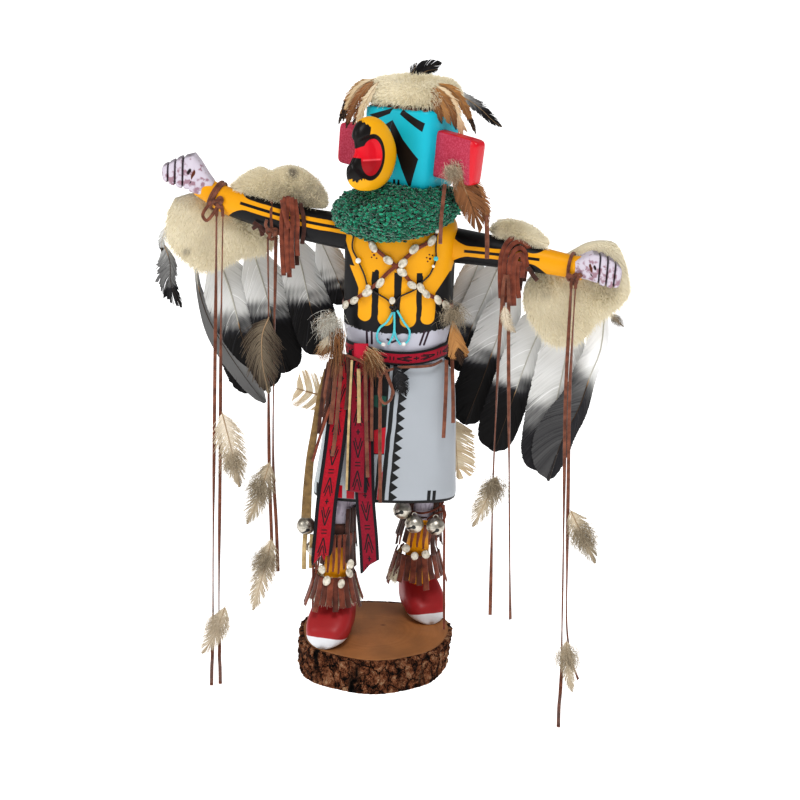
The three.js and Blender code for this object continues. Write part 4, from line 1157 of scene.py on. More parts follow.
def feather(route, width, tone, barbs=130, angle=40, shape=WING, splits=3, ragged=0.05, inner=0.5, shaft=1.0,
            shaft_tone=0.0, notches=0, web=False):
    """The vane and the shaft of one feather. tone(t, q, side, place) gives the darkness of each point: t is along the
    shaft, and q is how far out on the barb. A web fills the gaps between the barbs, as on a wing feather."""
    spine = spline(route, 200)
    grid = np.linspace(0, 1, 200)
    length = np.linalg.norm(np.diff(spine, axis=0), axis=1).sum()
    along = unit(np.gradient(spine, axis=0))
    across = unit(np.cross(along, np.broadcast_to(FORWARD, along.shape)))
    normal = np.cross(across, along)
    profile = np.interp(grid, *zip(*shape))

    def pick(values, t):
        return np.stack([np.interp(t, grid, values[:, k]) for k in range(3)], -1)

    q = np.linspace(0, 1, STEPS)
    paths, widths, tones, facings, sheets = [], [], [], [], []
    for side in (-1, 1):
        t0 = np.linspace(0.03, 0.99, barbs)
        if notches:
            t0 = (np.floor(t0 * notches) + (t0 * notches % 1) * 0.7 + 0.1) / notches
        push = rng.normal(size=barbs) * 0.0015 * (1 + splits)
        for at in rng.uniform(0.15, 0.92, splits):
            gap = t0 - at
            push += np.sign(gap) * rng.uniform(0.006, 0.022) * np.exp(-np.abs(gap) / 0.03)
        lead = width / 2 / length / math.tan(math.radians(angle)) + push
        t = t0[:, None] + lead[:, None] * q**1.3
        half = np.interp(np.clip(t[:, -1], 0, 1), grid, profile) * width * (inner if side < 0 else 1 - inner)
        half = half * (1 + rng.normal(size=barbs) * ragged)
        sideways = side * half[:, None] * q
        inside_t = np.clip(t, 0, 1)
        at = pick(spine, inside_t) + pick(across, inside_t) * sideways[..., None]
        lift = ARCH * width * (q**2) + (np.arange(barbs)[:, None] % 2) * 0.12 * q
        at = at - pick(normal, inside_t) * lift[..., None]
        if web:
            row, col = np.meshgrid(np.flatnonzero(np.abs(np.diff(lead)) < 0.009), np.arange(STEPS - 1), indexing="ij")
            a = (row * STEPS + col).ravel()
            faces = np.stack([a, a + 1, a + STEPS + 1, a + STEPS], -1)
            shades = np.clip(tone(inside_t, q * np.ones((barbs, 1)), side, at), 0, 1).ravel()
            points = (at + pick(normal, inside_t) * 0.15).reshape(-1, 3)
            sheets.append((points, faces, np.stack([shades, np.full(len(shades), 0.3)], -1)))
        paths.append(at)
        facings.append(pick(normal, inside_t))
        widths.append(length / barbs * (1.9 - 1.1 * q) * np.ones((barbs, 1)))
        tones.append(np.clip(tone(inside_t, q * np.ones((barbs, 1)), side, at), 0, 1))
    paths, widths, facings = np.concatenate(paths), np.concatenate(widths), np.concatenate(facings)
    points, faces = ribbons(paths, widths, facings)
    points[:, 2] = np.maximum(points[:, 2], 0.3)
    streak = np.repeat(rng.random(2 * barbs)[:, None], STEPS, 1)
    flat = np.repeat(np.stack([np.concatenate(tones), streak], -1).reshape(-1, 2), 2, 0)
    points, faces, flat = joined([(points, faces, flat)] + sheets)
    rod = spline(route, 18)
    size = shaft * (0.45 + 0.055 * width) * np.linspace(1, 0.22, 18)
    shaft_points, shaft_faces = strap(rod + np.array(FORWARD) * 0.35, size, size * 0.8)
    darkness = tone(np.linspace(0, 1, 18)[None], np.zeros((1, 18)), 1, rod[None])[0] if web else np.zeros(18)
    shaft_flat = np.repeat(np.where(darkness > 0.6, 0.95, shaft_tone), (len(shaft_points) - 2) // 18)
    shaft_flat = np.column_stack([np.append(shaft_flat, [shaft_tone, 0.95]), np.full(len(shaft_points), 0.1)])
    return (points, faces, flat), (shaft_points, shaft_faces, shaft_flat)


print("vane finishes:", [vane.material.name for vane in (wing_vane, tan_vane, ginger_vane, down_vane)])

# %% [markdown]
# The large wing feathers hang from under the fur in the plane of each arm, each a little behind the next. They are
# pale above and dark below, as on a goose or turkey wing. Only the outermost on each side is slender. The web between
# their barbs keeps them closed, and their shafts are collected and made into one piece at the end.

# %% Wing feathers
def darker_below(z_dark, fade=14, low=0.26, high=1.0, mottle=0.015):
    """Pale above a height and dark below it."""
    def tone(t, q, side, at):
        # About one barb in fifty is painted paler: painted glints along the barbs.
        mottle_and_glints = rng.normal(size=(len(at), 1)) * mottle - 0.2 * (rng.random((len(at), 1)) < 0.02)
        share = 1 / (1 + np.exp((at[..., 2] - z_dark - 5 * np.sin(t * 40 + side)) / (fade / 3.5)))
        return low + (high - low) * share + mottle_and_glints
    return tone


quills = []


def plume(name, vane, finish=wing_vane, stands_for=()):
    quills.append(vane[1])
    points, faces, flat = vane[0]
    return piece(name, points, faces, finish, flat, stands_for=stands_for)


def edge_feather(t, q, side, at):
    """The long outer feather: white at the top of its outer edge, slate grey below."""
    return 0.14 + 0.5 / (1 + np.exp((at[..., 2] - 372 + 10 * side * q) / 6)) - 0.12 * q * (side < 0)


def left_edge_feather(t, q, side, at):
    """White above and grey-black below, where one side is a little paler."""
    share = 1 / (1 + np.exp((at[..., 2] - 300 - 12 * side * q) / 6))
    return 0.02 + 0.8 * share - 0.08 * (side > 0) * (at[..., 2] < 292) + rng.normal(size=(len(at), 1)) * 0.02


SLENDER = [(0, 0.08), (0.2, 0.2), (0.35, 0.5), (0.5, 0.9), (0.65, 1), (0.85, 0.8), (0.95, 0.5), (1, 0.15)]
NARROW = [(0, 0.5), (0.3, 0.55), (0.5, 0.66), (0.65, 0.9), (0.82, 1), (0.9, 0.86), (0.95, 0.66), (0.985, 0.4),
          (1, 0.06)]
RIGHT_WING = [([(-186, 392), (-182, 360), (-171.9, 329.2), (-151.9, 296.6), (-131.3, 268.8), (-115.5, 249.9)], 22,
               edge_feather),
              ([(-168, 402), (-151, 360), (-138, 312), (-119, 260)], 56, darker_below(326, 18)),
              ([(-133, 412), (-117, 365), (-108, 330), (-95, 281)], 42, darker_below(340)),
              ([(-90, 420), (-80, 384), (-72, 350), (-58, 302)], 43, darker_below(354)),
              ([(-66, 420), (-54, 395), (-44, 373), (-37, 353)], 28, darker_below(372))]
LEFT_WING = [([(206, 380), (204.4, 329), (195.7, 300.8), (187, 269), (173.4, 237.5), (162, 194)], 38,
              left_edge_feather),
             ([(180, 368), (172, 310), (164, 258), (158, 200)], 44, darker_below(262, 34, 0.22, 0.85, 0.03)),
             ([(163, 374), (142, 324), (125, 268), (110, 216)], 39, darker_below(284)),
             ([(128, 385), (111, 335), (96, 284), (81, 239)], 38, darker_below(308, 12)),
             ([(112, 408), (97, 368), (83, 331), (74, 291)], 30, darker_below(334)),
             ([(94, 412), (78, 364), (70, 322), (73, 293)], 24, darker_below(350))]
for side, wing, plane, shares in (("right", RIGHT_WING, behind_right_arm(28.2), (0.5, 0.5)),
                                  ("left", LEFT_WING, behind_left_arm(30.2), (0.3, 0.4))):
    for i, (route, width, tone) in enumerate(wing):
        route = [(x, plane(x) + i * 2.8, z) for x, z in route]
        shape = WING if i else SLENDER if side == "right" else NARROW
        vane = feather(route, width, tone, barbs=170, angle=34, shape=shape, splits=0, ragged=0.012,
                       inner=shares[min(i, 1)], shaft=0.6, shaft_tone=0.2, web=True)
        plume(f"{side}_wing_{i + 1}_vane", vane, stands_for=[f"{side}_wing_feather_{i + 1}"])
print("wing feathers", len(RIGHT_WING) + len(LEFT_WING))

# %% [markdown]
# Small feathers dress the head and the hands: loose tan ones beside the mask, a brown one below the left ear and a
# curled grey one at the right hand. They use the same feather with other colours, and softer, more ragged barbs.

# %% Head and hand feathers
def banded(low, high, tip=0.86, tip_tone=0.97, edge=0.0):
    """Pale at the root, darker along the shaft and dark at the tip."""
    def tone(t, q, side, at):
        body = low + (high - low) * t + edge * q + rng.normal(size=(len(at), 1)) * 0.05
        return np.where(t > tip, tip_tone, body)
    return tone


def cluster(name, feathers, finish, stands_for=()):
    """Several feathers as one piece. Each is a dict of feather() arguments."""
    parts = []
    for settings in feathers:
        vane, shaft = feather(**settings)
        parts.append(vane)
        quills.append(shaft)
    points, faces, flat = joined(parts)
    return piece(name, points, faces, finish, flat, stands_for=stands_for)


def soft(route, width, tone, **more):
    """The settings of a small loose feather."""
    return {"route": route, "width": width, "tone": tone, "barbs": 90, "shape": LEAF, "ragged": 0.14, "splits": 3,
            "shaft": 0.5, "shaft_tone": 0.5, **more}


curled = soft([(-215, 66, 404), (-209, 66, 386), (-208, 66, 364), (-198, 66, 341)], 19, banded(0.45, 0.8, 0.7, 0.93),
              inner=0.3, angle=32, splits=6, web=True)
stub = soft([(-212, 64, 420), (-216, 64, 408), (-217, 65, 396)], 8, banded(0.2, 0.5), barbs=40)
cluster("curled_feather", [curled, stub], wing_vane, ["right_hand_feather"])
RIGHT_BUNCH = [([(-13, -11, 573), (-24, -12, 562), (-33, -11, 546), (-38, -9, 529)], 7.5, (0.5, 0.75, 0.9)),
               ([(-12, -9, 575), (-27, -9, 566), (-36, -9, 552), (-41, -8, 535)], 6, (0.1, 0.35, 0.8)),
               ([(-11, -8, 571), (-20, -10, 557), (-27, -10, 544), (-32, -9, 532)], 7, (0.45, 0.7, 0.86)),
               ([(-14, -6, 574), (-27, -6, 568), (-37, -6, 554), (-42, -6, 539)], 7, (0.25, 0.55, 0.7)),
               ([(-9, -11, 572), (-17, -14, 560), (-23, -14, 548), (-30, -12, 521)], 6.5, (0.05, 0.25)),
               ([(-14, -4, 571), (-29, -2, 561), (-40, -2, 546), (-45, -3, 532)], 6, (0.3, 0.5, 0.8))]
LEFT_BUNCH = [([(42, -34, 572), (53, -35, 564), (62, -33, 548), (68, -31, 524)], 8, (0, 0.12, 0.97)),
              ([(39, -34, 571), (49, -36, 562), (57, -35, 550), (62, -33, 533)], 8, (0.5, 0.8, 0.95)),
              ([(40, -33, 570), (47, -36, 559), (53, -35, 547), (57, -33, 537)], 8.5, (0.4, 0.62, 0.97)),
              ([(44, -31, 574), (58, -29, 567), (69, -27, 553), (76, -27, 537)], 8, (0.45, 0.65, 0.9)),
              ([(38, -35, 569), (42, -37, 559), (46, -36, 548), (49, -34, 538)], 7, (0.55, 0.8, 0.9)),
              ([(46, -29, 572), (61, -27, 563), (73, -25, 546), (80, -25, 529)], 6, (0.1, 0.3, 0.75)),
              ([(44, -31, 570), (54, -31, 555), (63, -31, 542), (72, -29, 531)], 7, (0, 0.15, 0.99))]
for side, bunch, vane in (("right", RIGHT_BUNCH, tan_vane), ("left", LEFT_BUNCH, ginger_vane)):
    feathers = [soft(route, width, banded(*tones), ragged=0.22, splits=6, angle=26) for route, width, tones in bunch]
    cluster(f"{side}_head_bunch", feathers, vane, [f"{side}_head_feathers"])
dark = soft([(56, 8, 562), (70, 12, 557), (86, 14, 546), (96, 13, 537), (105, 12, 531)], 10, banded(0.1, 1.35, 0.8),
            angle=30, shaft=0.9)
cluster("dark_head_plume", [dark], wing_vane, ["dark_head_feather"])
crown = [soft([(22, 12, 577), (30, 12, 582), (38, 12, 585), (48, 12, 588)], 13, banded(0.9, 0.98), angle=40, barbs=130,
              web=True, ragged=0.05),
         soft([(20, 8, 576), (23, 8, 582), (25, 8, 588)], 9, banded(0.8, 0.95), angle=40),
         soft([(26, 10, 576), (36, 11, 581), (45, 11, 582)], 8, banded(0.8, 0.95), angle=40)]
cluster("crown_plume", crown, wing_vane, ["crown_feather"])
below_ear = [soft([(61, -49, 500), (70, -50, 484), (79, -51, 464), (86, -50, 443)], 24,
                  banded(0.6, 0.68, 0.97, 0.6, 0.05), barbs=150, web=True, ragged=0.03),
             soft([(63, -47, 500), (78, -47, 486), (88, -47, 468), (93, -47, 449)], 13, banded(0.5, 0.62, 0.99, 0.2)),
             soft([(59, -50, 502), (65, -52, 494), (71, -52, 484)], 17, banded(0.45, 0.6, 0.99, 0.5), ragged=0.35,
                  angle=60)]
cluster("ear_plume", below_ear, tan_vane)
print("small feathers:", 2 + len(RIGHT_BUNCH) + len(LEFT_BUNCH) + 1 + len(crown) + len(below_ear))

# %% [markdown]
# Two beige feathers stick out behind the kilt, and one of them is cut into fingers. Softer ones with loose barbs are
# tied to the long laces at different heights, and they are mostly down, so their barbs are many and ragged. Last, all
# the shafts are made into one piece.

# %% Tail and lace feathers
def beige(t, q, side, at):
    return 0.06 + 0.1 * np.sin(t * 9) ** 2 + 0.05 * q + rng.normal(size=(len(at), 1)) * 0.03


fingers = {"shape": [(0, 0.8), (0.9, 1), (1, 0.9)], "angle": 62, "splits": 0, "barbs": 110, "ragged": 0.03,
           "notches": 5, "shaft": 1.0, "shaft_tone": 0.6}
whole = {"shape": WING, "angle": 42, "splits": 6, "ragged": 0.06, "inner": 0.88, "web": True}
for side, route, width, settings in (("right", [(-42, 46, 256), (-62, 47, 261), (-85, 48, 267)], 38, fingers),
                                     ("left", [(71, 46, 240), (74, 47, 208), (77, 48, 178)], 20, whole)):
    vane = feather(**soft(route, width, beige, **settings))
    plume(f"{side}_tail_vane", vane, tan_vane, [f"{side}_tail_feather"])
DOWN_SPREAD = 1.6
LACE_FEATHERS = {
    "lace_feather_1": ([(-154, 17, 250), (-149, 17, 230), (-143, 17, 205), (-137, 17, 174)], 17, 0.1, 0.35),
    "lace_feather_2": ([(-150, 14, 52), (-156, 12, 34), (-163, 9, 18), (-172, 4, 5)], 12, 0.35, 0.2),
    "lace_feather_3": ([(-108, 1, 348), (-114, 0, 332), (-114, 0, 304), (-108, 2, 273)], 22, 0.85, 0.75),
    "lace_feather_4": ([(-106, 3, 206), (-112, 2, 186), (-119, 2, 164), (-128, 3, 141)], 14, 0.45, 0.4),
    "lace_feather_5": ([(-104, 3, 128), (-109, 2, 104), (-115, 2, 80), (-122, 3, 52)], 13, 0.35, 0.25),
    "lace_feather_6": ([(111, -48, 375), (112, -49, 366), (115, -49, 357), (122, -48, 350)], 6, 0.15, 0.3),
    "lace_feather_7": ([(110, -48, 212), (105, -49, 198), (98, -49, 182), (89, -48, 161)], 13, 0.5, 0.35),
    "lace_feather_8": ([(179, -58, 184), (186, -60, 170), (194, -60, 154), (205, -58, 131)], 13, 0.3, 0.5),
    "lace_feather_9": ([(181, -62, 55), (182, -64, 40), (184, -67, 24), (188, -72, 6)], 8, 0.25, 0.3),
    "wing_edge_feather": ([(211, -22, 364), (217, -22, 358), (224, -22, 352)], 6, 0.6, 0.8),
}
for name, (route, width, low, high) in LACE_FEATHERS.items():
    settings = {"barbs": 190, "ragged": 0.2, "angle": 42}
    if name == "lace_feather_3":
        settings = {"barbs": 230, "ragged": 0.13, "angle": 36, "splits": 7}
    downy = soft(route, width * DOWN_SPREAD, banded(low, high, 0.99, 0.6, 0.15), **settings)
    cluster(name, [downy], down_vane)
points, faces, flat = joined(quills)
piece("feather_shafts", points, faces, quill_finish, flat)
print("feathers", len(quills))

# %% [markdown]
# Cut suede is everywhere on this doll: a fringe over each arm, thongs at the waist, cuffs at the knees and ankles, and
# short ties. All of it is the same strip laid along different paths, so these helpers take a list of routes and make
# one piece. Knots and hoops are only paths for the same strip.

# %% Suede strips
RED_SUEDE = suede("red_brown_suede", "#6c3628", "#4a2017", "#884a36")
DARK_SUEDE = suede("dark_suede", "#3a211b", "#1f1210", "#57342a")
BROWN_SUEDE = suede("brown_suede", "#552c21", "#3a1d16", "#6d3c2e")
TAN_SUEDE = suede("tan_suede", "#a98f62", "#8b7249", "#c6ae81")
OLIVE_SUEDE = suede("olive_suede", "#6d5638", "#55412a", "#8a7048")


def strips(name, routes, finish, width=4.6, thick=1.2, stands_for=(), facing=(0, -1, 0.2), count=26,
           taper=1.0):
    """Several strips as one piece. A route may end with its own width."""
    parts = []
    for route in routes:
        own = width
        if not hasattr(route[-1], "__len__"):
            route, own = route[:-1], route[-1]
        path = spline(route, count)
        twist = rng.normal() * 0.25 * np.sin(np.linspace(0, 3, count))
        points, faces = strap(path, own * np.linspace(1, taper, count), thick, twist, facing=facing)
        points[:, 2] = np.maximum(points[:, 2], 0.3)
        parts.append((points, faces))
    points, faces, _ = joined(parts)
    return piece(name, points, faces, finish, stands_for=stands_for)


def free_strip(name, route, finish, width):
    """One long loose strip."""
    made = strips(name, [route], finish, width, count=60)
    path = spline(route, 60)
    path[0] * MM
    path * MM


def knot(at, size=1.0, turn=0.0):
    """The path of an overhand knot."""
    t = np.linspace(0, 2 * np.pi, 14)
    loop = np.stack([np.sin(t) + 2 * np.sin(2 * t), -np.sin(3 * t), np.cos(t) - 2 * np.cos(2 * t)], -1) * size
    c, s = math.cos(turn), math.sin(turn)
    return (loop @ np.array([[c, 0, s], [0, 1, 0], [-s, 0, c]]) + at).tolist()


def hoop(centre, axis, radius):
    """Points round a limb."""
    axis = unit(np.array(axis, float))
    side = unit(np.cross(axis, (0, 0, 1)))
    top = np.cross(side, axis)
    t = np.linspace(0, 2 * np.pi, 13)[:, None]
    return (np.array(centre) + radius * (np.cos(t) * side + np.sin(t) * top)).tolist()


print("a knot's path has", len(knot((0, 0, 0))), "places and a hoop's", len(hoop((0, 0, 0), (1, 0, 0), 1)))

# %% [markdown]
# A bundle of fringe is draped over each arm: broad red-brown strips in front and darker ones behind, each read from
# the photograph. Narrow laces are tied round the wrists and the right forearm, where the long laces hang from them.

# %% Arm fringes and ties
strips("left_arm_fringe_strips", [
    [(108, -34, 379), (106.5, -33.5, 402), (107.5, -32, 420), (113, -27, 431), (122, -22, 434.5), (133, -24, 431),
     (142, -29, 417)],
    [(112, -36.5, 375.5), (110, -36, 402), (111, -35, 418), (116, -31, 428), (124, -27, 431), (132, -29, 426),
     (137, -32, 410)],
    [(116, -38.5, 373), (114.5, -38, 400), (115, -37, 414), (119, -34, 424), (125, -31.5, 426), (129.5, -33, 420),
     (131, -35, 405)],
    [(120, -38, 373), (118.5, -38, 400), (119, -37, 412), (122, -36, 420), (125.5, -34.5, 420), (127, -36, 411),
     (126.5, -36.5, 399)],
    [(124.5, -36.5, 380), (122, -36, 399), (122.5, -36.5, 409), (124, -37, 414)],
    [(110, -30, 371), (109.5, -30, 395), (111, -31, 415)],
    [(129, -29, 398), (130, -29, 412), (128, -26, 424)],
], RED_SUEDE, 4.7, stands_for=["left_arm_fringe"])
strips("left_arm_fringe_back", [
    [(125, -31, 386), (126, -31, 402), (124, -30, 418)],
    [(129, -28, 394), (129, -29, 408), (128, -29, 420)],
    [(132, -36, 409), (137, -34, 401), (141, -31, 396)],
], DARK_SUEDE, 4.4)
strips("right_arm_fringe_strips", [
    [(-94, 5, 462), (-96.5, -1, 444), (-96, -3, 415), (-94.3, -3, 389)],
    [(-91, 4, 463), (-92, -3, 440), (-91.5, -4, 412), (-90, -4, 392)],
    [(-88, 3, 462), (-86.5, -3, 441), (-87, -4, 418), (-85.9, -4, 396)],
    [(-85, 4, 460), (-82, -2, 441), (-82.3, -3, 424), (-81.5, -3, 408)],
    [(-97, 5, 459), (-94, -5, 449), (-89.5, -6, 434)],
    [(-91, 0, 440), (-90, -1, 410), (-89, -1, 387)],
], RED_SUEDE, 4.6, stands_for=["right_arm_fringe"])
strips("right_arm_fringe_back", [
    [(-80, 6, 456), (-76.5, 0, 444), (-76, -1, 430), (-77.5, -1, 419)],
    [(-83, 8, 430), (-83, 3, 415), (-82, 2, 398)],
    [(-125, 12, 430), (-119, 10, 433), (-112, 8, 428)],
    [(-124, 12, 436), (-118, 10, 432), (-115, 8, 424)],
], DARK_SUEDE, 4.2)
strips("right_arm_ties", [
    [(-108, 20, 457), (-107.5, 11, 448), (-107, 9, 436), (-106.5, 8, 428)],
    knot((-106, 6.5, 427), 1.9),
    [(-109, 7, 430), (-112, 6, 434), (-111, 5, 440)],
    [(-106, 7, 428), (-108, 7, 425), (-110, 7, 421)],
    [(-106, 7, 428), (-104, 7, 425), (-102.5, 7, 421)],
    [(-104, 6, 428), (-98, 5, 426), (-95, 5, 416), (-96, 5, 404)],
], LACE_SUEDE, 3.2)
wrist = hoop((-159.3, 38.6, 455.6), (-12, 3.5, 6), 13.4)
strips("right_wrist_tie", [
    wrist,
    (np.array(wrist) + (-2.6, 0.8, 1.4)).tolist(),
    knot((-157.5, 23.5, 452), 1.7, 0.6),
    [(-158, 24, 452), (-159, 23, 446), (-159.5, 22, 439)],
    [(-157, 24, 452), (-154.5, 23, 446), (-153.5, 22, 439)],
    [(-164, 26, 453), (-169, 22, 447), (-172.5, 21, 440), (-169, 21, 435), (-163, 22, 441), (-158, 23, 450)],
], LACE_SUEDE, 3.2)
wrist = hoop((171.5, -34.8, 410.3), (16, -5, -1.5), 12.6)
strips("left_wrist_tie", [
    wrist,
    knot((173, -50.5, 402), 1.7, 0.3),
    [(173, -49, 402), (170.5, -53, 399), (170.5, -55, 394)],
    [(173, -49, 402), (174.5, -53, 399), (174.3, -55, 394)],
    [(171, -50, 404), (168, -51, 406), (166.5, -50, 403)],
    [(175, -50, 404), (178, -51, 406.5), (180, -50, 404)],
], LACE_SUEDE, 3.2)
strips("left_forearm_tie", [
    [(111, -39, 402), (109.5, -43, 394), (109, -45, 383)],
    [(113, -39, 402), (114, -43, 394), (114.5, -45, 383)],
], LACE_SUEDE, 3.2)
print("the left wrist's hoop starts at", np.round(wrist[0], 1))

# %% [markdown]
# The belt and both sashes are woven in the traditional way: a red ground with black edges and fine black lozenge
# lines. The pattern is painted from one function with its own repeat for each band. The belt is a closed band round
# the waist that rises a little at the sides.

# %% Belt
def woven(name, ground, period, first, half, reach):
    """Black edges, and a lozenge between pairs of short bars. u runs along the band and v across it."""
    finish = Finish(name, ground, 0.8, Sheen_Weight=0.2, Specular_IOR_Level=0.2)
    u, v = finish.flat()
    frays = finish.noise(600, 2)
    off = abs(v)
    run = finish.math("PINGPONG", u - first, period / 2)
    legs = []
    for start, thin, middle, half_run in ((0.09, 0.62, 0.23, 0.13), (0.22, 0.5, 0.32, 0.09)):
        slanted = finish.inside(abs(off - (run - period * start) * reach) - thin, 0.4)
        legs.append(slanted & finish.inside(abs(run - period * middle) - period * half_run, 0.5))
    bars = finish.inside(abs(run - 1.6) - 0.55, 0.4) & finish.inside(off - half * 0.27, 0.4)
    cross = [finish.inside(abs(run - period / 2) - long, 0.4) & finish.inside(off - wide, 0.4)
             for long, wide in ((2.6, 0.6), (0.6, 1.8))]
    border = finish.inside(half * 0.68 - off + (frays - 0.5) * 0.5, 0.4)
    weave = finish.math("SINE", u * 5.2) * finish.math("SINE", v * 5.2)
    red = finish.mix(frays, ground, "#5f0c1e")
    dark = any_of([*legs, bars, *cross, border])
    finish.set(Base_Color=finish.mix(dark, finish.mix(0.25, red, ground), "#14151a"))
    return finish.bump(weave + frays, 0.4, 0.0004)


belt_cloth = woven("belt_cloth", "#b21232", 44, 12, 6.6, 0.2)
ring = np.array([13, 1]) + outline(47.0, 29.6, 2.8, 240)
middle = 318.0 + np.minimum(0.0042 * (ring[:, 0] - 18) ** 2, 5.5)
far = np.concatenate([[0], np.cumsum(np.linalg.norm(np.diff(ring, axis=0), axis=1))])
loops, flats = [], []
for v, out in ((-6.5, 0.2), (-6.4, 1.0), (-3, 1.3), (0, 1.4), (3, 1.3), (6.4, 1.0), (6.5, 0.2), (6.5, -0.8),
               (-6.5, -0.8)):
    away = unit(ring - [13, 1]) * out
    loops.append(np.column_stack([ring + away, middle + v]))
    flats.append(np.column_stack([far, np.full(240, v)]) / 100)
points, faces = skin(loops, closed_ends=False)
piece("belt_band", points, faces, belt_cloth, np.vstack(flats), stands_for=["belt"])
print("the belt goes round in", round(far[-1]), "mm")

# %% [markdown]
# The sashes hang free in front of the kilt, so each is a sheet of its own with its real cut: one is frayed into four
# tails at the end, and one ends in a long point with a shorter layer over it. A sheet is a grid of points down a
# route, and its cut says how far down each thread reaches.

# %% Sashes
def sheet_of_cloth(name, route, width, cut, finish, top, stands_for=(), wave=0.8, thick=1.0, columns=14, rows=90):
    """A hanging band: cut(v) is the share of its length that is left at v, from -1 to 1 across it."""
    line = spline(route, 240)
    grid = np.linspace(0, 1, 240)
    forward = unit(np.gradient(line, axis=0))
    wide = unit(np.cross(forward, np.broadcast_to((0, -1, 0.1), line.shape)))
    ahead = np.cross(wide, forward)
    across = np.linspace(-1, 1, columns)
    v = np.concatenate([across, across[::-1]])
    lift = np.concatenate([np.full(columns, thick / 2), np.full(columns, -thick / 2)])
    rings, flats = [], []
    for t in np.linspace(0, 1, rows):
        at = t * np.array([cut(a) for a in v])
        base, side, out = [np.stack([np.interp(at, grid, values[:, k]) for k in range(3)], -1)
                           for values in (line, wide, ahead)]
        ripple = wave * np.sin(at * 7 + v * 1.3) * at
        spot = base + side * (v * width / 2)[:, None] + out * (lift - ripple * 0.6)[:, None]
        rings.append(spot)
        flats.append(np.column_stack([top - spot[:, 2], v * width / 2]) / 100)
    points, faces = skin(rings)
    made = piece(name, points, faces, finish, with_ends(np.array(flats)), stands_for=stands_for)
    return made


bright = woven("bright_sash", "#c01029", 60, 111.7, 9.6, 0.24)
deep_red = woven("deep_red_sash", "#97122f", 63, 104, 9.4, 0.24)


def frayed(v):
    """A cut end with four loose tails."""
    whole, half = 0.865, 0.22
    tails = [(at, end) for at, end in ((-0.78, 0.93), (-0.27, 0.96), (0.26, 0.95), (0.78, 1.0)) if abs(v - at) < half]
    return max([whole] + [whole + (end - whole) * (1 - abs(v - at) / half) ** 0.3 for at, end in tails])


def pointed(v):
    """A cut that slopes to a long point on one side, with a small notch in it."""
    return 0.955 - 0.02 * (v < -0.5) + 0.055 * max(0, (v + 0.1) / 1.1) - 0.02 * math.exp(-(((v + 0.4) / 0.25) ** 2))


sheet_of_cloth("left_sash_cloth", [
    (-15, -31.4, 322), (-16, -32.6, 300), (-16, -34.4, 262), (-15, -34.8, 222), (-13.2, -34.8, 180), (-9.5, -35, 142),
    (-7.2, -36, 108),
], 18.5, pointed, deep_red, 321, ["left_sash"])
sheet_of_cloth("left_sash_layer", [
    (-22, -33.2, 326), (-22, -34.6, 303), (-21.5, -36.6, 265), (-21, -37, 225), (-21.4, -37, 189),
], 19, lambda v: 1 - 0.01 * v, deep_red, 321, wave=0.4)
sheet_of_cloth("right_sash_cloth", [
    (-34, -33.4, 322), (-36.5, -35.2, 303), (-40, -36.8, 265), (-44, -37, 225), (-49.5, -37, 180),
    (-52.5, -37.2, 140), (-55, -38, 113),
], 20, frayed, bright, 321, ["right_sash"], columns=40)
fold_cloth = Finish("sash_fold_cloth", "#b01331", 0.85)
strips("sash_fold", [[(-20, -34.5, 333), (-20, -36, 326), (-20.5, -36.8, 317)]], fold_cloth, 14, 2.4)

# %% [markdown]
# A brown thong is tied in a bow over the belt, and loose suede strips hang from the doll's right hip. They are placed
# one by one from the photograph, each a little in front of the next, so that nothing cuts into the sashes. Two laces
# hang at the left hip, and two more below the left ear.

# %% Thongs and hip strips
free_strip("bow_tail", [
    (-1.5, -39, 308), (-1.2, -39.5, 285), (-0.6, -39.5, 241), (0.4, -39.8, 205), (1.0, -40, 180),
], LACE_SUEDE, 3.4)
free_strip("bow_loop", [
    (0, -39, 306), (-2.2, -41, 294), (-1.6, -42, 284), (3, -42, 278), (8, -41.5, 281), (10.2, -41, 289),
    (8, -40.5, 298), (4, -40, 307),
], LACE_SUEDE, 2.6)
strips("bow_thong", [
    [(-34, -36, 322), (-22, -38.5, 318), (-12, -38.5, 312), (-2, -38.5, 307), (8, -35.5, 309), (18, -33.5, 311),
     (33, -32.5, 311.5), (47, -30.5, 313), (56, -23, 316)],
    [(4, -39.5, 305), (8, -40.5, 296), (11, -41, 288), (9, -40, 284)],
], LACE_SUEDE, 2.6, facing=(0, -1, 0), count=50)
strips("bow_knot", [knot((-2, -40.5, 307.5), 1.5), knot((1, -40, 309), 1.2, 1.0)], LACE_SUEDE, 2.4)
strips("waist_strips_brown", [
    [(-15.4, -39.5, 312), (-14.6, -39.8, 280), (-13, -39.8, 240), (-11.4, -39.8, 205), 3.6],
    [(-42, -38.5, 318), (-44.4, -39.2, 288), (-46.8, -39.8, 256), 4.4],
    [(-38, -38.6, 312), (-40, -39.4, 280), (-43, -39.6, 240), (-45, -39.6, 225), 3.6],
    [(-48, -36, 318), (-52, -37, 290), (-56, -36.5, 262), 3.4],
    [(-9.5, -37.6, 312), (-9, -38, 280), (-8.5, -38, 240), 3.2],
], LACE_SUEDE, 4.0)
strips("waist_strips_tan", [[(-21.8, -39.6, 310), (-21, -40, 285), (-20.5, -40, 258), 3.6]], TAN_SUEDE, 3.6)
free_strip("waist_tan_cord", [
    (-28.2, -38.6, 318), (-29.4, -39.6, 280), (-30, -39.8, 259), (-31, -39.8, 192),
], TAN_SUEDE, 2.4)
strips("hip_strip_olive", [
    [(-52, -28, 306), (-57.4, -34, 282), (-62, -37.5, 249), (-65.5, -37.5, 224), (-68, -36.5, 190), (-69, -36, 162)],
], OLIVE_SUEDE, 4.5, 1.6, taper=2.2)
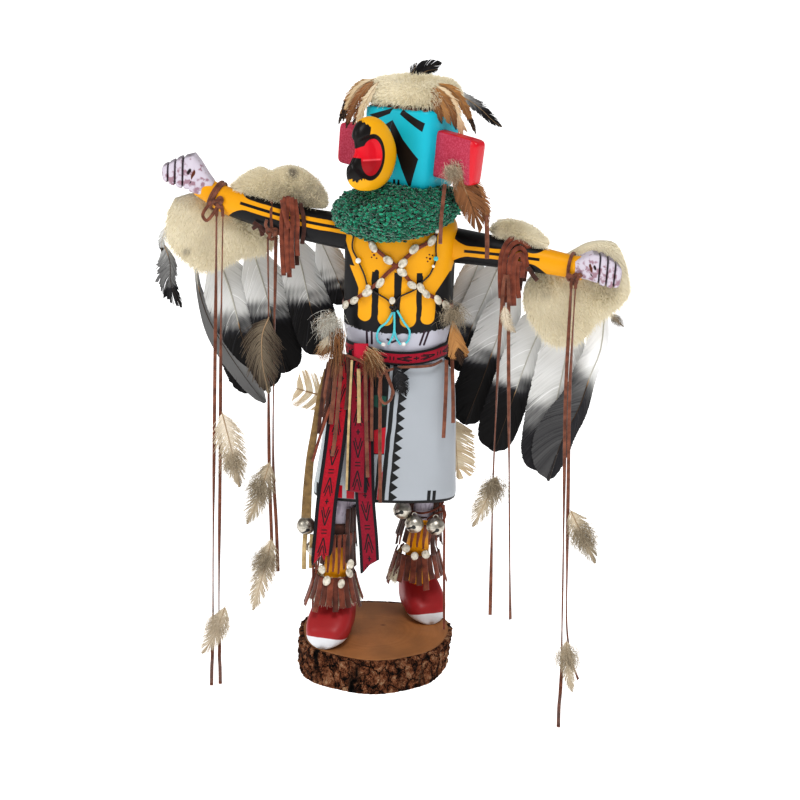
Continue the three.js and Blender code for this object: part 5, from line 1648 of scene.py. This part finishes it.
strips("hip_strips_dark", [
    [(-50, -33, 314), (-54, -36, 290), (-57, -38, 262), (-58, -38, 246)],
    [(-32, -36.5, 320), (-31, -38, 296), (-33, -38.2, 270)],
    [(-45, -36, 318), (-48, -37.6, 296), (-51, -38, 272), (-55, -38, 250)],
], DARK_SUEDE, 3.6)
strips("hip_strip_red", [[(-47, -39, 275), (-51, -39.4, 262), (-57, -39.8, 243), (-63.5, -39, 219), 2.8]], RED_SUEDE)
free_strip("hip_lace_1", [(59.7, -29, 318), (59.9, -33, 296), (59.6, -35, 270), (59, -35, 244)], LACE_SUEDE, 3.6)
free_strip("hip_lace_2", [(65, -26, 318), (66, -30, 300), (67, -32, 280), (67.7, -32, 258)], LACE_SUEDE, 3.6)
free_strip("ear_lace_1", [
    (53, -50, 486), (52, -53, 474), (50.6, -56, 457), (50.4, -54, 443), (50.4, -47, 431),
], LACE_SUEDE, 3.6)
free_strip("ear_lace_2", [(91, -47, 458), (92.2, -46, 448), (93, -44, 435), (93.6, -42, 417)], LACE_SUEDE, 4.2)

# %% [markdown]
# Where feathers and knots were tied on, loose down springs out: at the bow, at both hips, at the ear and at the root
# of each lace feather. A tuft is a bunch of long fine hairs from one place. Small plumes lie over them.

# %% Down and plumes
def tuft(name, at, lean, count, length, spread, tone, finish=tan_vane, radius=3.0, width=0.45):
    """Loose down: fine barbs that spring from one place."""
    roots = np.array(at, float) + rng.normal(size=(count, 3)) * radius * (1, 0.4, 1)
    direction = unit(unit(np.array(lean, float)) + rng.normal(size=(count, 3)) * spread)
    tones = np.clip(tone + rng.normal(size=count) * 0.14, 0, 1)
    points, faces, flat = hairs(roots, direction, rng.uniform(0.5, 1, count) * length, tones, width, 0.25, 5)
    return piece(name, points, faces, finish, flat)


tuft("bow_down", (-10, -40.5, 322), (0.2, -0.3, -1), 260, 19, 0.4, 0.72, width=0.35)
tuft("bow_down_pale", (-12, -41, 325), (1.0, -0.3, -0.7), 160, 17, 0.25, 0.4, width=0.35)
tuft("hip_down_grey", (-49, -31, 350), (0.0, -0.3, -0.3), 900, 13, 0.9, 0.2, quill_finish, radius=5.5, width=0.3)
pale = soft([(-45, -36, 344), (-45, -37, 332), (-43, -37, 318)], 8, banded(0.0, 0.1, 0.99), web=True, angle=25)
grey = soft([(-50, -35, 340), (-54, -35, 330), (-58, -34, 322)], 10, banded(0.3, 0.6, 0.99), angle=30)
cluster("hip_down_white", [pale, grey], down_vane)
tuft("hip_down_brown", (-42, -36, 342), (-0.05, -0.2, -1), 200, 34, 0.12, 0.72)
tuft("hip_down_low", (-52, -32, 330), (-0.6, -0.2, -1), 160, 14, 0.4, 0.5, width=0.35)
tuft("hip_down_left", (64, -33, 363), (0.1, -0.3, -0.3), 600, 12, 0.8, 0.62, down_vane, radius=5, width=0.26)
tuft("ear_down", (60, -50, 499), (0.3, -0.3, -0.6), 500, 12, 0.7, 0.5, down_vane, radius=3.5, width=0.3)
LACE_DOWN = [(-142, 16, 202, 0.5), (-158, 12, 33, 0.35), (-115, 1, 180, 0.6), (-110, 1, 106, 0.6),
             (107, -50, 203, 0.65), (191, -61, 160, 0.6), (182, -65, 40, 0.5)]
for number, (x, y, z, tone) in enumerate(LACE_DOWN, 1):
    outward = (0.3 * np.sign(x), -0.2, -0.7)
    tuft(f"lace_down_{number}", (x, y, z), outward, 600, 13, 0.7, tone, down_vane, radius=5.5, width=0.22)
broad = soft([(64, -35, 358), (67, -36, 342), (70, -36, 328), (72, -34, 320)], 19, banded(0.5, 0.42, 0.97, 0.9, 0.05),
             shape=[(0, 0.3), (0.5, 0.75), (0.85, 1), (1, 0.8)], angle=30, web=True, ragged=0.04)
tip = soft([(70, -37, 332), (71.5, -37, 326), (74, -35, 314)], 8, banded(0.9, 1.0), angle=30, web=True)
cluster("hip_plume", [broad, tip], ginger_vane)
long = soft([(11, -36, 313), (16, -37.5, 304), (20, -38, 294), (23, -38, 284)], 12, banded(0.85, 0.98), angle=45)
short = soft([(12, -37, 305), (16, -38, 294), (18, -38, 284)], 10, banded(0.8, 0.98), angle=50)
cluster("kilt_plume", [long, short], wing_vane)
print("tufts on the laces:", len(LACE_DOWN))

# %% [markdown]
# Each knee has a fringed cuff that leaves a yellow patch of the leg bare, and each ankle has a wider fringe over cream
# fur. On the left ankle the fur shows on one side only. The strips fan round the leg, so they are laid out by angle
# and follow the cone of the cuff.

# %% Knee cuffs and ankle fringes
def fan(stations, angles, top, bottoms, out, flare):
    """Routes down the outside of a leg, one for each angle, where 0 is to the front. Stations are x, y, z, radius."""
    rows = np.array(stations, float)
    rows = rows[np.argsort(rows[:, 2])]
    routes = []
    for angle, bottom in zip(angles, bottoms):
        z = np.linspace(top, bottom, 7)
        x, y, r = [np.interp(z, rows[:, 2], rows[:, k]) for k in (0, 1, 3)]
        r = r + out + flare * np.linspace(0, 1, 7) ** 2
        a = math.radians(angle)
        routes.append(np.column_stack([x + r * math.sin(a), y - r * math.cos(a), z]).tolist())
    return routes


def fan_strips(name, stations, angles, top, bottoms, finish, width, out=1.0, flare=2.0, taper=1.0, stands_for=()):
    """The fan as one piece, each strip facing away from the leg."""
    parts = []
    for route, angle in zip(fan(stations, angles, top, bottoms, out, flare), angles):
        path = spline(route, 18)
        a = math.radians(angle)
        parts.append(strap(path, width * np.linspace(1, taper, 18), 1.2, facing=(math.sin(a), -math.cos(a), 0.05)))
    points, faces, _ = joined(parts)
    return piece(name, points, faces, finish, stands_for=stands_for)


RIGHT_KNEE = [(-40, -8, 174, 17), (-41, -12, 150, 17), (-41, -13, 118, 16), (-42, -13, 98, 17)]
RIGHT_ANKLE = [(-41, -13, 112, 15), (-42, -13, 96, 19), (-42, -14, 66, 26)]
LEFT_KNEE = [(43, 17, 172, 18), (42, 22, 150, 18), (39, 31, 124, 19), (39, 32, 105, 20)]
LEFT_ANKLE = [(38, 33, 119, 16), (38, 41, 100, 21), (38, 45, 74, 26)]
FUR_HAIRS = 2600
for side, knee, ankle, low in (("right", RIGHT_KNEE, RIGHT_ANKLE, 0), ("left", LEFT_KNEE, LEFT_ANKLE, 9)):
    (_, (high_x, high_y, _, high_r), (low_x, low_y, _, low_r), _) = knee
    sleeve = spline([(high_x, high_y, 152, high_r - 1.2), (low_x, low_y, 130 + low, low_r - 1.4)], 24)
    t = circle(240)
    points, faces = skin([np.column_stack([x + r * np.cos(t), y + r * np.sin(t), np.full(240, z)])
                          for x, y, z, r in sleeve])
    piece(f"{side}_knee_sleeve", points, faces, DARK_SUEDE, stands_for=[f"{side}_knee_cuff"])
    angles = np.linspace(38, 322, 16)
    fan_strips(f"{side}_knee_dark_strips", knee, angles, 168, rng.uniform(106, 128, 16) + low * 0.4, DARK_SUEDE, 5.4,
               flare=3.0)
    angles = [-36, -20, -4, 12, 28, -58, -80, -110, 52, 75, 100, 130, 165, -150]
    ends = np.array([110, 106, 107, 105, 109, 106, 112, 110, 106, 108, 112, 110, 110, 112]) + 1.4 * low
    fan_strips(f"{side}_knee_red_strips", knee, angles, 144, ends, RED_SUEDE, 4.4, out=2.0, flare=0.8, taper=0.4)
    angles = np.array([-160, -135, -112, -90, -70, -52, -36, -22, -8, 5, 19, 33, 48, 64, 85, 108, 132, 157])
    fan_strips(f"{side}_ankle_red_strips", ankle, angles[::2], 101 + 0.7 * low, rng.uniform(66, 78, 9) + low * 0.5,
               RED_SUEDE, 6.2,
               out=2.4, stands_for=[f"{side}_ankle_fringe"])
    fan_strips(f"{side}_ankle_dark_strips", ankle, angles[1::2], 101 + 0.7 * low, rng.uniform(68, 80, 9) + low * 0.5,
               BROWN_SUEDE, 5.6, out=1.8)
    x, y, _, r = ankle[1]
    a = rng.uniform(0, 2 * np.pi, FUR_HAIRS)
    drop = rng.uniform(0, 1, FUR_HAIRS)
    a = 2.5 + a * 0.22 if side == "left" else a
    radius = r - 2.5 + 7 * drop
    roots = np.column_stack([x + radius * np.cos(a), y + radius * np.sin(a), 101 + 0.5 * low - 22 * drop])
    lean = np.column_stack([np.cos(a) * 0.45, np.sin(a) * 0.45, np.full(FUR_HAIRS, -1.0)])
    lean = unit(lean + rng.normal(size=(FUR_HAIRS, 3)) * 0.15)
    length, tones = rng.uniform(4, 8.5, FUR_HAIRS), np.clip(0.5 + rng.normal(size=FUR_HAIRS) * 0.1, 0, 1)
    points, faces, flat = hairs(roots, lean, length, tones, 0.7, 0.1)
    piece(f"{side}_ankle_fur", points, faces, cream_fur, flat)
strips("right_knee_tan_strips", [
    [(-70.5, -17, 140), (-71.4, -18, 122), (-71.4, -18, 104), 4.4],
    [(-64, -19, 140), (-64.4, -20, 122), (-64.6, -20, 106), 4.4],
], TAN_SUEDE, 4.4)
free_strip("right_leg_lace_1", [
    (-62.8, -21, 130), (-62.4, -22, 105), (-62.2, -22, 85), (-62.2, -22, 66),
], RED_SUEDE, 2.0)
free_strip("right_leg_lace_2", [
    (-60, -21, 128), (-59.4, -22, 105), (-59.3, -22, 85), (-59.3, -22, 67),
], RED_SUEDE, 2.0)
free_strip("left_leg_lace", [
    (62, -4, 168), (63.2, -5, 140), (63.8, -5, 112), (65, -4, 75), (66, -4, 40),
], RED_SUEDE, 2.4)
strips("left_knee_cords", [
    [(30, -2, 160), (42, -1, 158), (55, 1, 162), (62, 6, 168), 2.0],
    [(46, -2, 152), (54, -3, 158), (62, 2, 160), 2.0],
    [(58, 2, 168), (64, 3, 156), (60, 2, 146), 2.2],
], RED_SUEDE, 2.0)

# %% [markdown]
# Bells hang at the knees. Each is pressed from two steel cups that meet in a small ridge, with a slot across the lower
# one that ends in a round hole. The slot is painted black on the metal as the shade inside the bell, because it is too
# small to be looked into.

# %% Bells
bell_metal = Finish("bell_metal", "#a39c90", 0.3, Metallic=1.0)
u, v = bell_metal.flat()
# Painted shade: the slot and its hole are painted black, as the dark inside of the bell.
slot_shade = bell_metal.stroke(u, v, [(-9.5, -6.5), (1.4, -1.6)], 0.95, 0.3)
slot_shade = slot_shade | bell_metal.stroke(u, v, [(1.4, -1.6), (1.5, -1.6)], 2.0, 0.3)
tarnish = bell_metal.noise(180, 4)
colour = bell_metal.ramp(tarnish, (0.3, "#a09a8e"), (0.6, "#cbc6bb"))
bell_metal.set(Base_Color=bell_metal.mix(slot_shade, colour, "#080706"), Metallic=1 - slot_shade,
               Roughness=bell_metal.math("MULTIPLY_ADD", tarnish, 0.2, 0.28))
BELLS = {"right_bell_1": (-70, -14, 147, 18.5), "right_bell_2": (-64, -14, 125, 13), "left_bell_1": (22, -8, 163, 18.5),
         "left_bell_2": (34, -10, 150, 18.5), "left_bell_3": (54.5, -6, 147, 18.5)}
for number, (name, (x, y, z, size)) in enumerate(BELLS.items()):
    tilt = np.linalg.qr(rng.normal(size=(3, 3)))[0] * 0.25 + np.eye(3)
    tilt = np.linalg.qr(tilt)[0]
    tilt = tilt * np.sign(np.diag(tilt))
    rings, flats = [], []
    for angle in np.linspace(-1.55, 1.55, 36):
        ridge = 0.45 * math.exp(-((angle / 0.07) ** 2))
        t = circle(48)
        ring = np.column_stack([np.cos(t) * math.cos(angle), np.sin(t) * math.cos(angle), np.full(48, math.sin(angle))])
        local = ring * (size / 2 - 0.4 + ridge)
        rings.append(local @ tilt.T + (x, y, z))
        flats.append(local[:, [0, 2]] * 18.5 / size / 100)
    points, faces = skin(rings)
    parts = [(points, faces, with_ends(np.array(flats)))]
    eye = spline(hoop((x, y, z + size / 2), (0, 1, 0), 2.2), 20)
    points, faces = strap(eye, 1.0, 1.0, facing=(0, -1, 0.01))
    parts.append((points, faces, np.tile([0.05, 0.05], (len(points), 1))))
    points, faces, flat = joined(parts)
    piece(name + "_cups", points, faces, bell_metal, flat, stands_for=[name])
print("bells", len(BELLS))

# %% [markdown]
# Two suede bandoliers cross on the chest and go round the back under the arms. They have to lie on the carving, so
# their points are read off the photograph across and up, and the depth comes from the torso's own sections.

# %% Bandoliers
sections = np.array(TORSO)


def on_chest(points, lift=1.5, back=False):
    """Puts x, z points on the torso's surface."""
    x, z = np.array(points, float)[:, :2].T
    cx, cy, w, d = [np.interp(z, sections[:, 0], sections[:, k]) for k in (1, 2, 3, 4)]
    share = np.clip(np.abs(x - cx) / (w + lift), 0, 1)
    depth = (d + lift) * (1 - share**2.7) ** (1 / 2.7)
    return np.column_stack([x, cy + (depth if back else -depth), z])


def round_strap(line, lift):
    """A loop over one shoulder and under the other arm."""
    line = np.array(line, float)
    grid = np.linspace(0, 1, 40)
    top, low = line[0], line[-1]
    front = np.column_stack([np.interp(grid, np.linspace(0, 1, len(line)), line[:, k]) for k in (0, 1)])
    behind = low + (top - low) * grid[:, None]
    return np.vstack([on_chest(front, lift), on_chest(behind[1:], lift, True)])


STRAPS = {"strap_a": [(-16.5, 432), (-10.8, 424), (3.2, 412.4), (16.3, 401.5), (25.8, 390.5), (38.9, 381.4),
                      (50.1, 375.1), (63.5, 366.5)],
          "strap_b": [(47.5, 437), (43, 431), (26.8, 421.5), (15, 409.9), (2.5, 399.8), (-3.7, 392), (-15.5, 381.5),
                      (-27.3, 372.6), (-38, 366)]}
for name, line in STRAPS.items():
    path = round_strap(line, 1.8)
    path = spline(path[::3], 130)
    points, faces = strap(path, 3.6, 1.8, facing=(path - (14, 1, 0)) * (1, 1, 0))
    piece(name, points, faces, RED_SUEDE)
print("the chest is at depth", on_chest([(13, 400)])[0].round(1)[1], "in front")

# %% [markdown]
# The shells are thin cut pieces of freshwater shell, strung on the bandoliers and tied at the knees. Each is a thin
# rounded disc, turned a little at random, because hand-cut shells never lie the same way.

# %% Shells
shell_finish = Finish("shell_surface", "#d8d0c2", 0.28, Coat_Weight=0.5, Specular_IOR_Level=0.6)
colour = shell_finish.ramp(shell_finish.noise(300, 3), (0.3, "#8f887b"), (0.5, "#c4bcab"), (0.7, "#ddd6c8"))
shell_finish.set(Base_Color=colour).bump(shell_finish.noise(260, 3), 0.3, 0.0008)


def pebble(at, radii, facing=(0, -1, 0.1), turn=0.0):
    """A thin rounded disc: radii are across, up and thick."""
    out = unit(np.array(facing, float))
    side = unit(np.cross((0, 0, 1), out))
    rise = np.cross(out, side)
    rings = []
    for angle in np.linspace(-1.5, 1.5, 12):
        w = math.cos(angle) ** 0.7
        c, s = radii[0] * w * np.cos(circle(20)), radii[1] * w * np.sin(circle(20))
        a, b = c * math.cos(turn) - s * math.sin(turn), c * math.sin(turn) + s * math.cos(turn)
        rings.append(np.array(at) + a[:, None] * side + b[:, None] * rise + out * radii[2] * math.sin(angle))
    return skin(rings)


SHELLS = {0.75: [(-10.8, 424.1), (3.2, 412.4), (16.3, 401.5), (25.8, 389.5), (38.9, 381.4), (50.1, 375.1),
                 (57.7, 369.6), (34, 387)],
          -0.85: [(43, 431), (26.8, 423.2), (17, 409.9), (-3.7, 390.7), (-15.5, 381), (-27.3, 372.2), (-35.5, 366.4)]}
parts = []
for lie, places in SHELLS.items():
    for x, z in places:
        at = on_chest([(x, z)], 4.2)[0]
        facing = unit(at - (14, 1, z)) * (0.7, 1, 0) + (0, 0, 0.1)
        radii = (rng.uniform(3.3, 3.9), rng.uniform(4.9, 5.9), 2.0)
        parts.append(pebble(at, radii, facing, lie + rng.uniform(-0.25, 0.25)))
for x, z, w, h in ((-14.6, 385.9, 2.6, 2.8), (7.9, 374.5, 3.0, 3.6)):
    parts.append(pebble(on_chest([(x, z)], 4)[0], (w, h, 1.6)))
AT_KNEES = [(-48.6, -35.5, 99), (-34.5, -37, 97), (-27, -36, 107.5), (-26, -34, 116), (-53.5, -33, 109.5),
            (26.7, 6, 119.3), (35.3, 3, 112.6), (46.1, 4, 114.2), (-63.5, -24, 124)]
for at in AT_KNEES:
    radii = (rng.uniform(3.2, 4.2), rng.uniform(4.2, 5.2), 1.7)
    parts.append(pebble(at, radii, (rng.uniform(-0.3, 0.3), -1, 0.1), rng.uniform(-0.5, 0.5)))
points, faces, _ = joined(parts)
piece("shells", points, faces, shell_finish)
print("shells", len(parts))

# %% [markdown]
# The necklace is a thin black cord with a bead here and there, and turquoise beads hang from it in four loops with a
# white bead at the foot of each pair. At this size a string of beads is a round strap that swells and narrows.

# %% Necklace
CORD_BLACK = Finish("black_cord", "#1b1716", 0.7)
CORD_BLACK.set(Base_Color=CORD_BLACK.mix(CORD_BLACK.noise(900, 2), "#0f0d0d", "#332b28"))
NECKLACE = {"necklace_right_half": [(-27.5, 439), (-30, 421), (-25, 411), (-18, 396), (-14.6, 385.9), (-8.1, 381.4),
                                    (5, 373.3), (7.9, 366)],
            "necklace_left_half": [(47.4, 440), (46.9, 423), (47.2, 414), (42.1, 399.5), (34.9, 391.9), (28.6, 385.1),
                                   (13.2, 376.3), (8.4, 366)]}
parts = []
for line in NECKLACE.values():
    points = spline(on_chest(line, 2.2), 60)
    points = on_chest(points[:, [0, 2]], 2.2)
    parts.append(strap(points, 1.5, 1.4))
parts.append(strap(spline(knot((8.5, -34.5, 367), 1.0), 30), 1.4, 1.4))
points, faces, _ = joined(parts)
piece("necklace_cord", points, faces, CORD_BLACK)
bead_white = Finish("white_bead", "#e9e6df", 0.3, Coat_Weight=0.4)
bead_white.set(Base_Color=bead_white.mix(bead_white.noise(500, 2), "#cfcabf", "#f6f4ef"))
WHITE_BEADS = [(-24.3, 410, 2.6, 2.6, 1.0), (0.5, 331.5, 2.1, 1.9, 1.6), (19.5, 332.5, 2.0, 1.9, 1.6),
               (-27.6, 436.5, 2.0, 2.4, 1.6), (47.4, 439.5, 2.2, 2.4, 1.6), (45, 407, 1.5, 1.5, 1.3)]
parts = [pebble(on_chest([(x, z)], 3.4)[0], size) for x, z, *size in WHITE_BEADS]
points, faces, _ = joined(parts)
piece("white_beads", points, faces, bead_white)
turquoise = Finish("turquoise_bead", "#2fb6c2", 0.35, Coat_Weight=0.3)
turquoise.set(Base_Color=turquoise.mix(turquoise.noise(700, 2), "#1d98a6", "#5fd3da"))
LOOPS = [[(9, 364), (3, 353), (-3, 347.5), (-5.6, 340), (-4.4, 334.5), (0, 331.2)],
         [(10, 363.5), (10.4, 355), (10.3, 345), (8.4, 338), (5, 331.6)],
         [(10.4, 352), (10.8, 344), (13, 337), (16.6, 331.8)],
         [(12.6, 365), (19, 354), (24.4, 346), (24.6, 340), (23.4, 335.5), (20.3, 332.4)]]
parts = [pebble(on_chest([(47.2, 414.1)], 3.6)[0], (2.3, 2.3, 1.8))]
for line in LOOPS:
    points = on_chest(spline([(x, z, 0) for x, z in line], 110)[:, :2], 2.4)
    far = np.concatenate([[0], np.cumsum(np.linalg.norm(np.diff(points, axis=0), axis=1))])
    bumps = 1.7 + 0.5 * np.abs(np.sin(far * 2.1))
    parts.append(strap(points, bumps, bumps))
points, faces, _ = joined(parts)
piece("turquoise_beads", points, faces, turquoise)
print("turquoise loops", len(LOOPS))

# %% Floor and finish
floor_finish = Finish("pale_floor", "#f7f7f7", 0.75, Emission_Color=(1, 1, 1, 1), Emission_Strength=0.95)
floor = piece("floor", [(-30000, -30000, 0), (30000, -30000, 0), (30000, 30000, 0), (-30000, 30000, 0)],
              [(0, 1, 2, 3)], floor_finish)
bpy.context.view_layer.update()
meshes = [o.data for o in bpy.data.objects if o.type == "MESH" and not o.hide_render]
print("triangles", sum(len(m.loops) - 2 * len(m.polygons) for m in meshes))
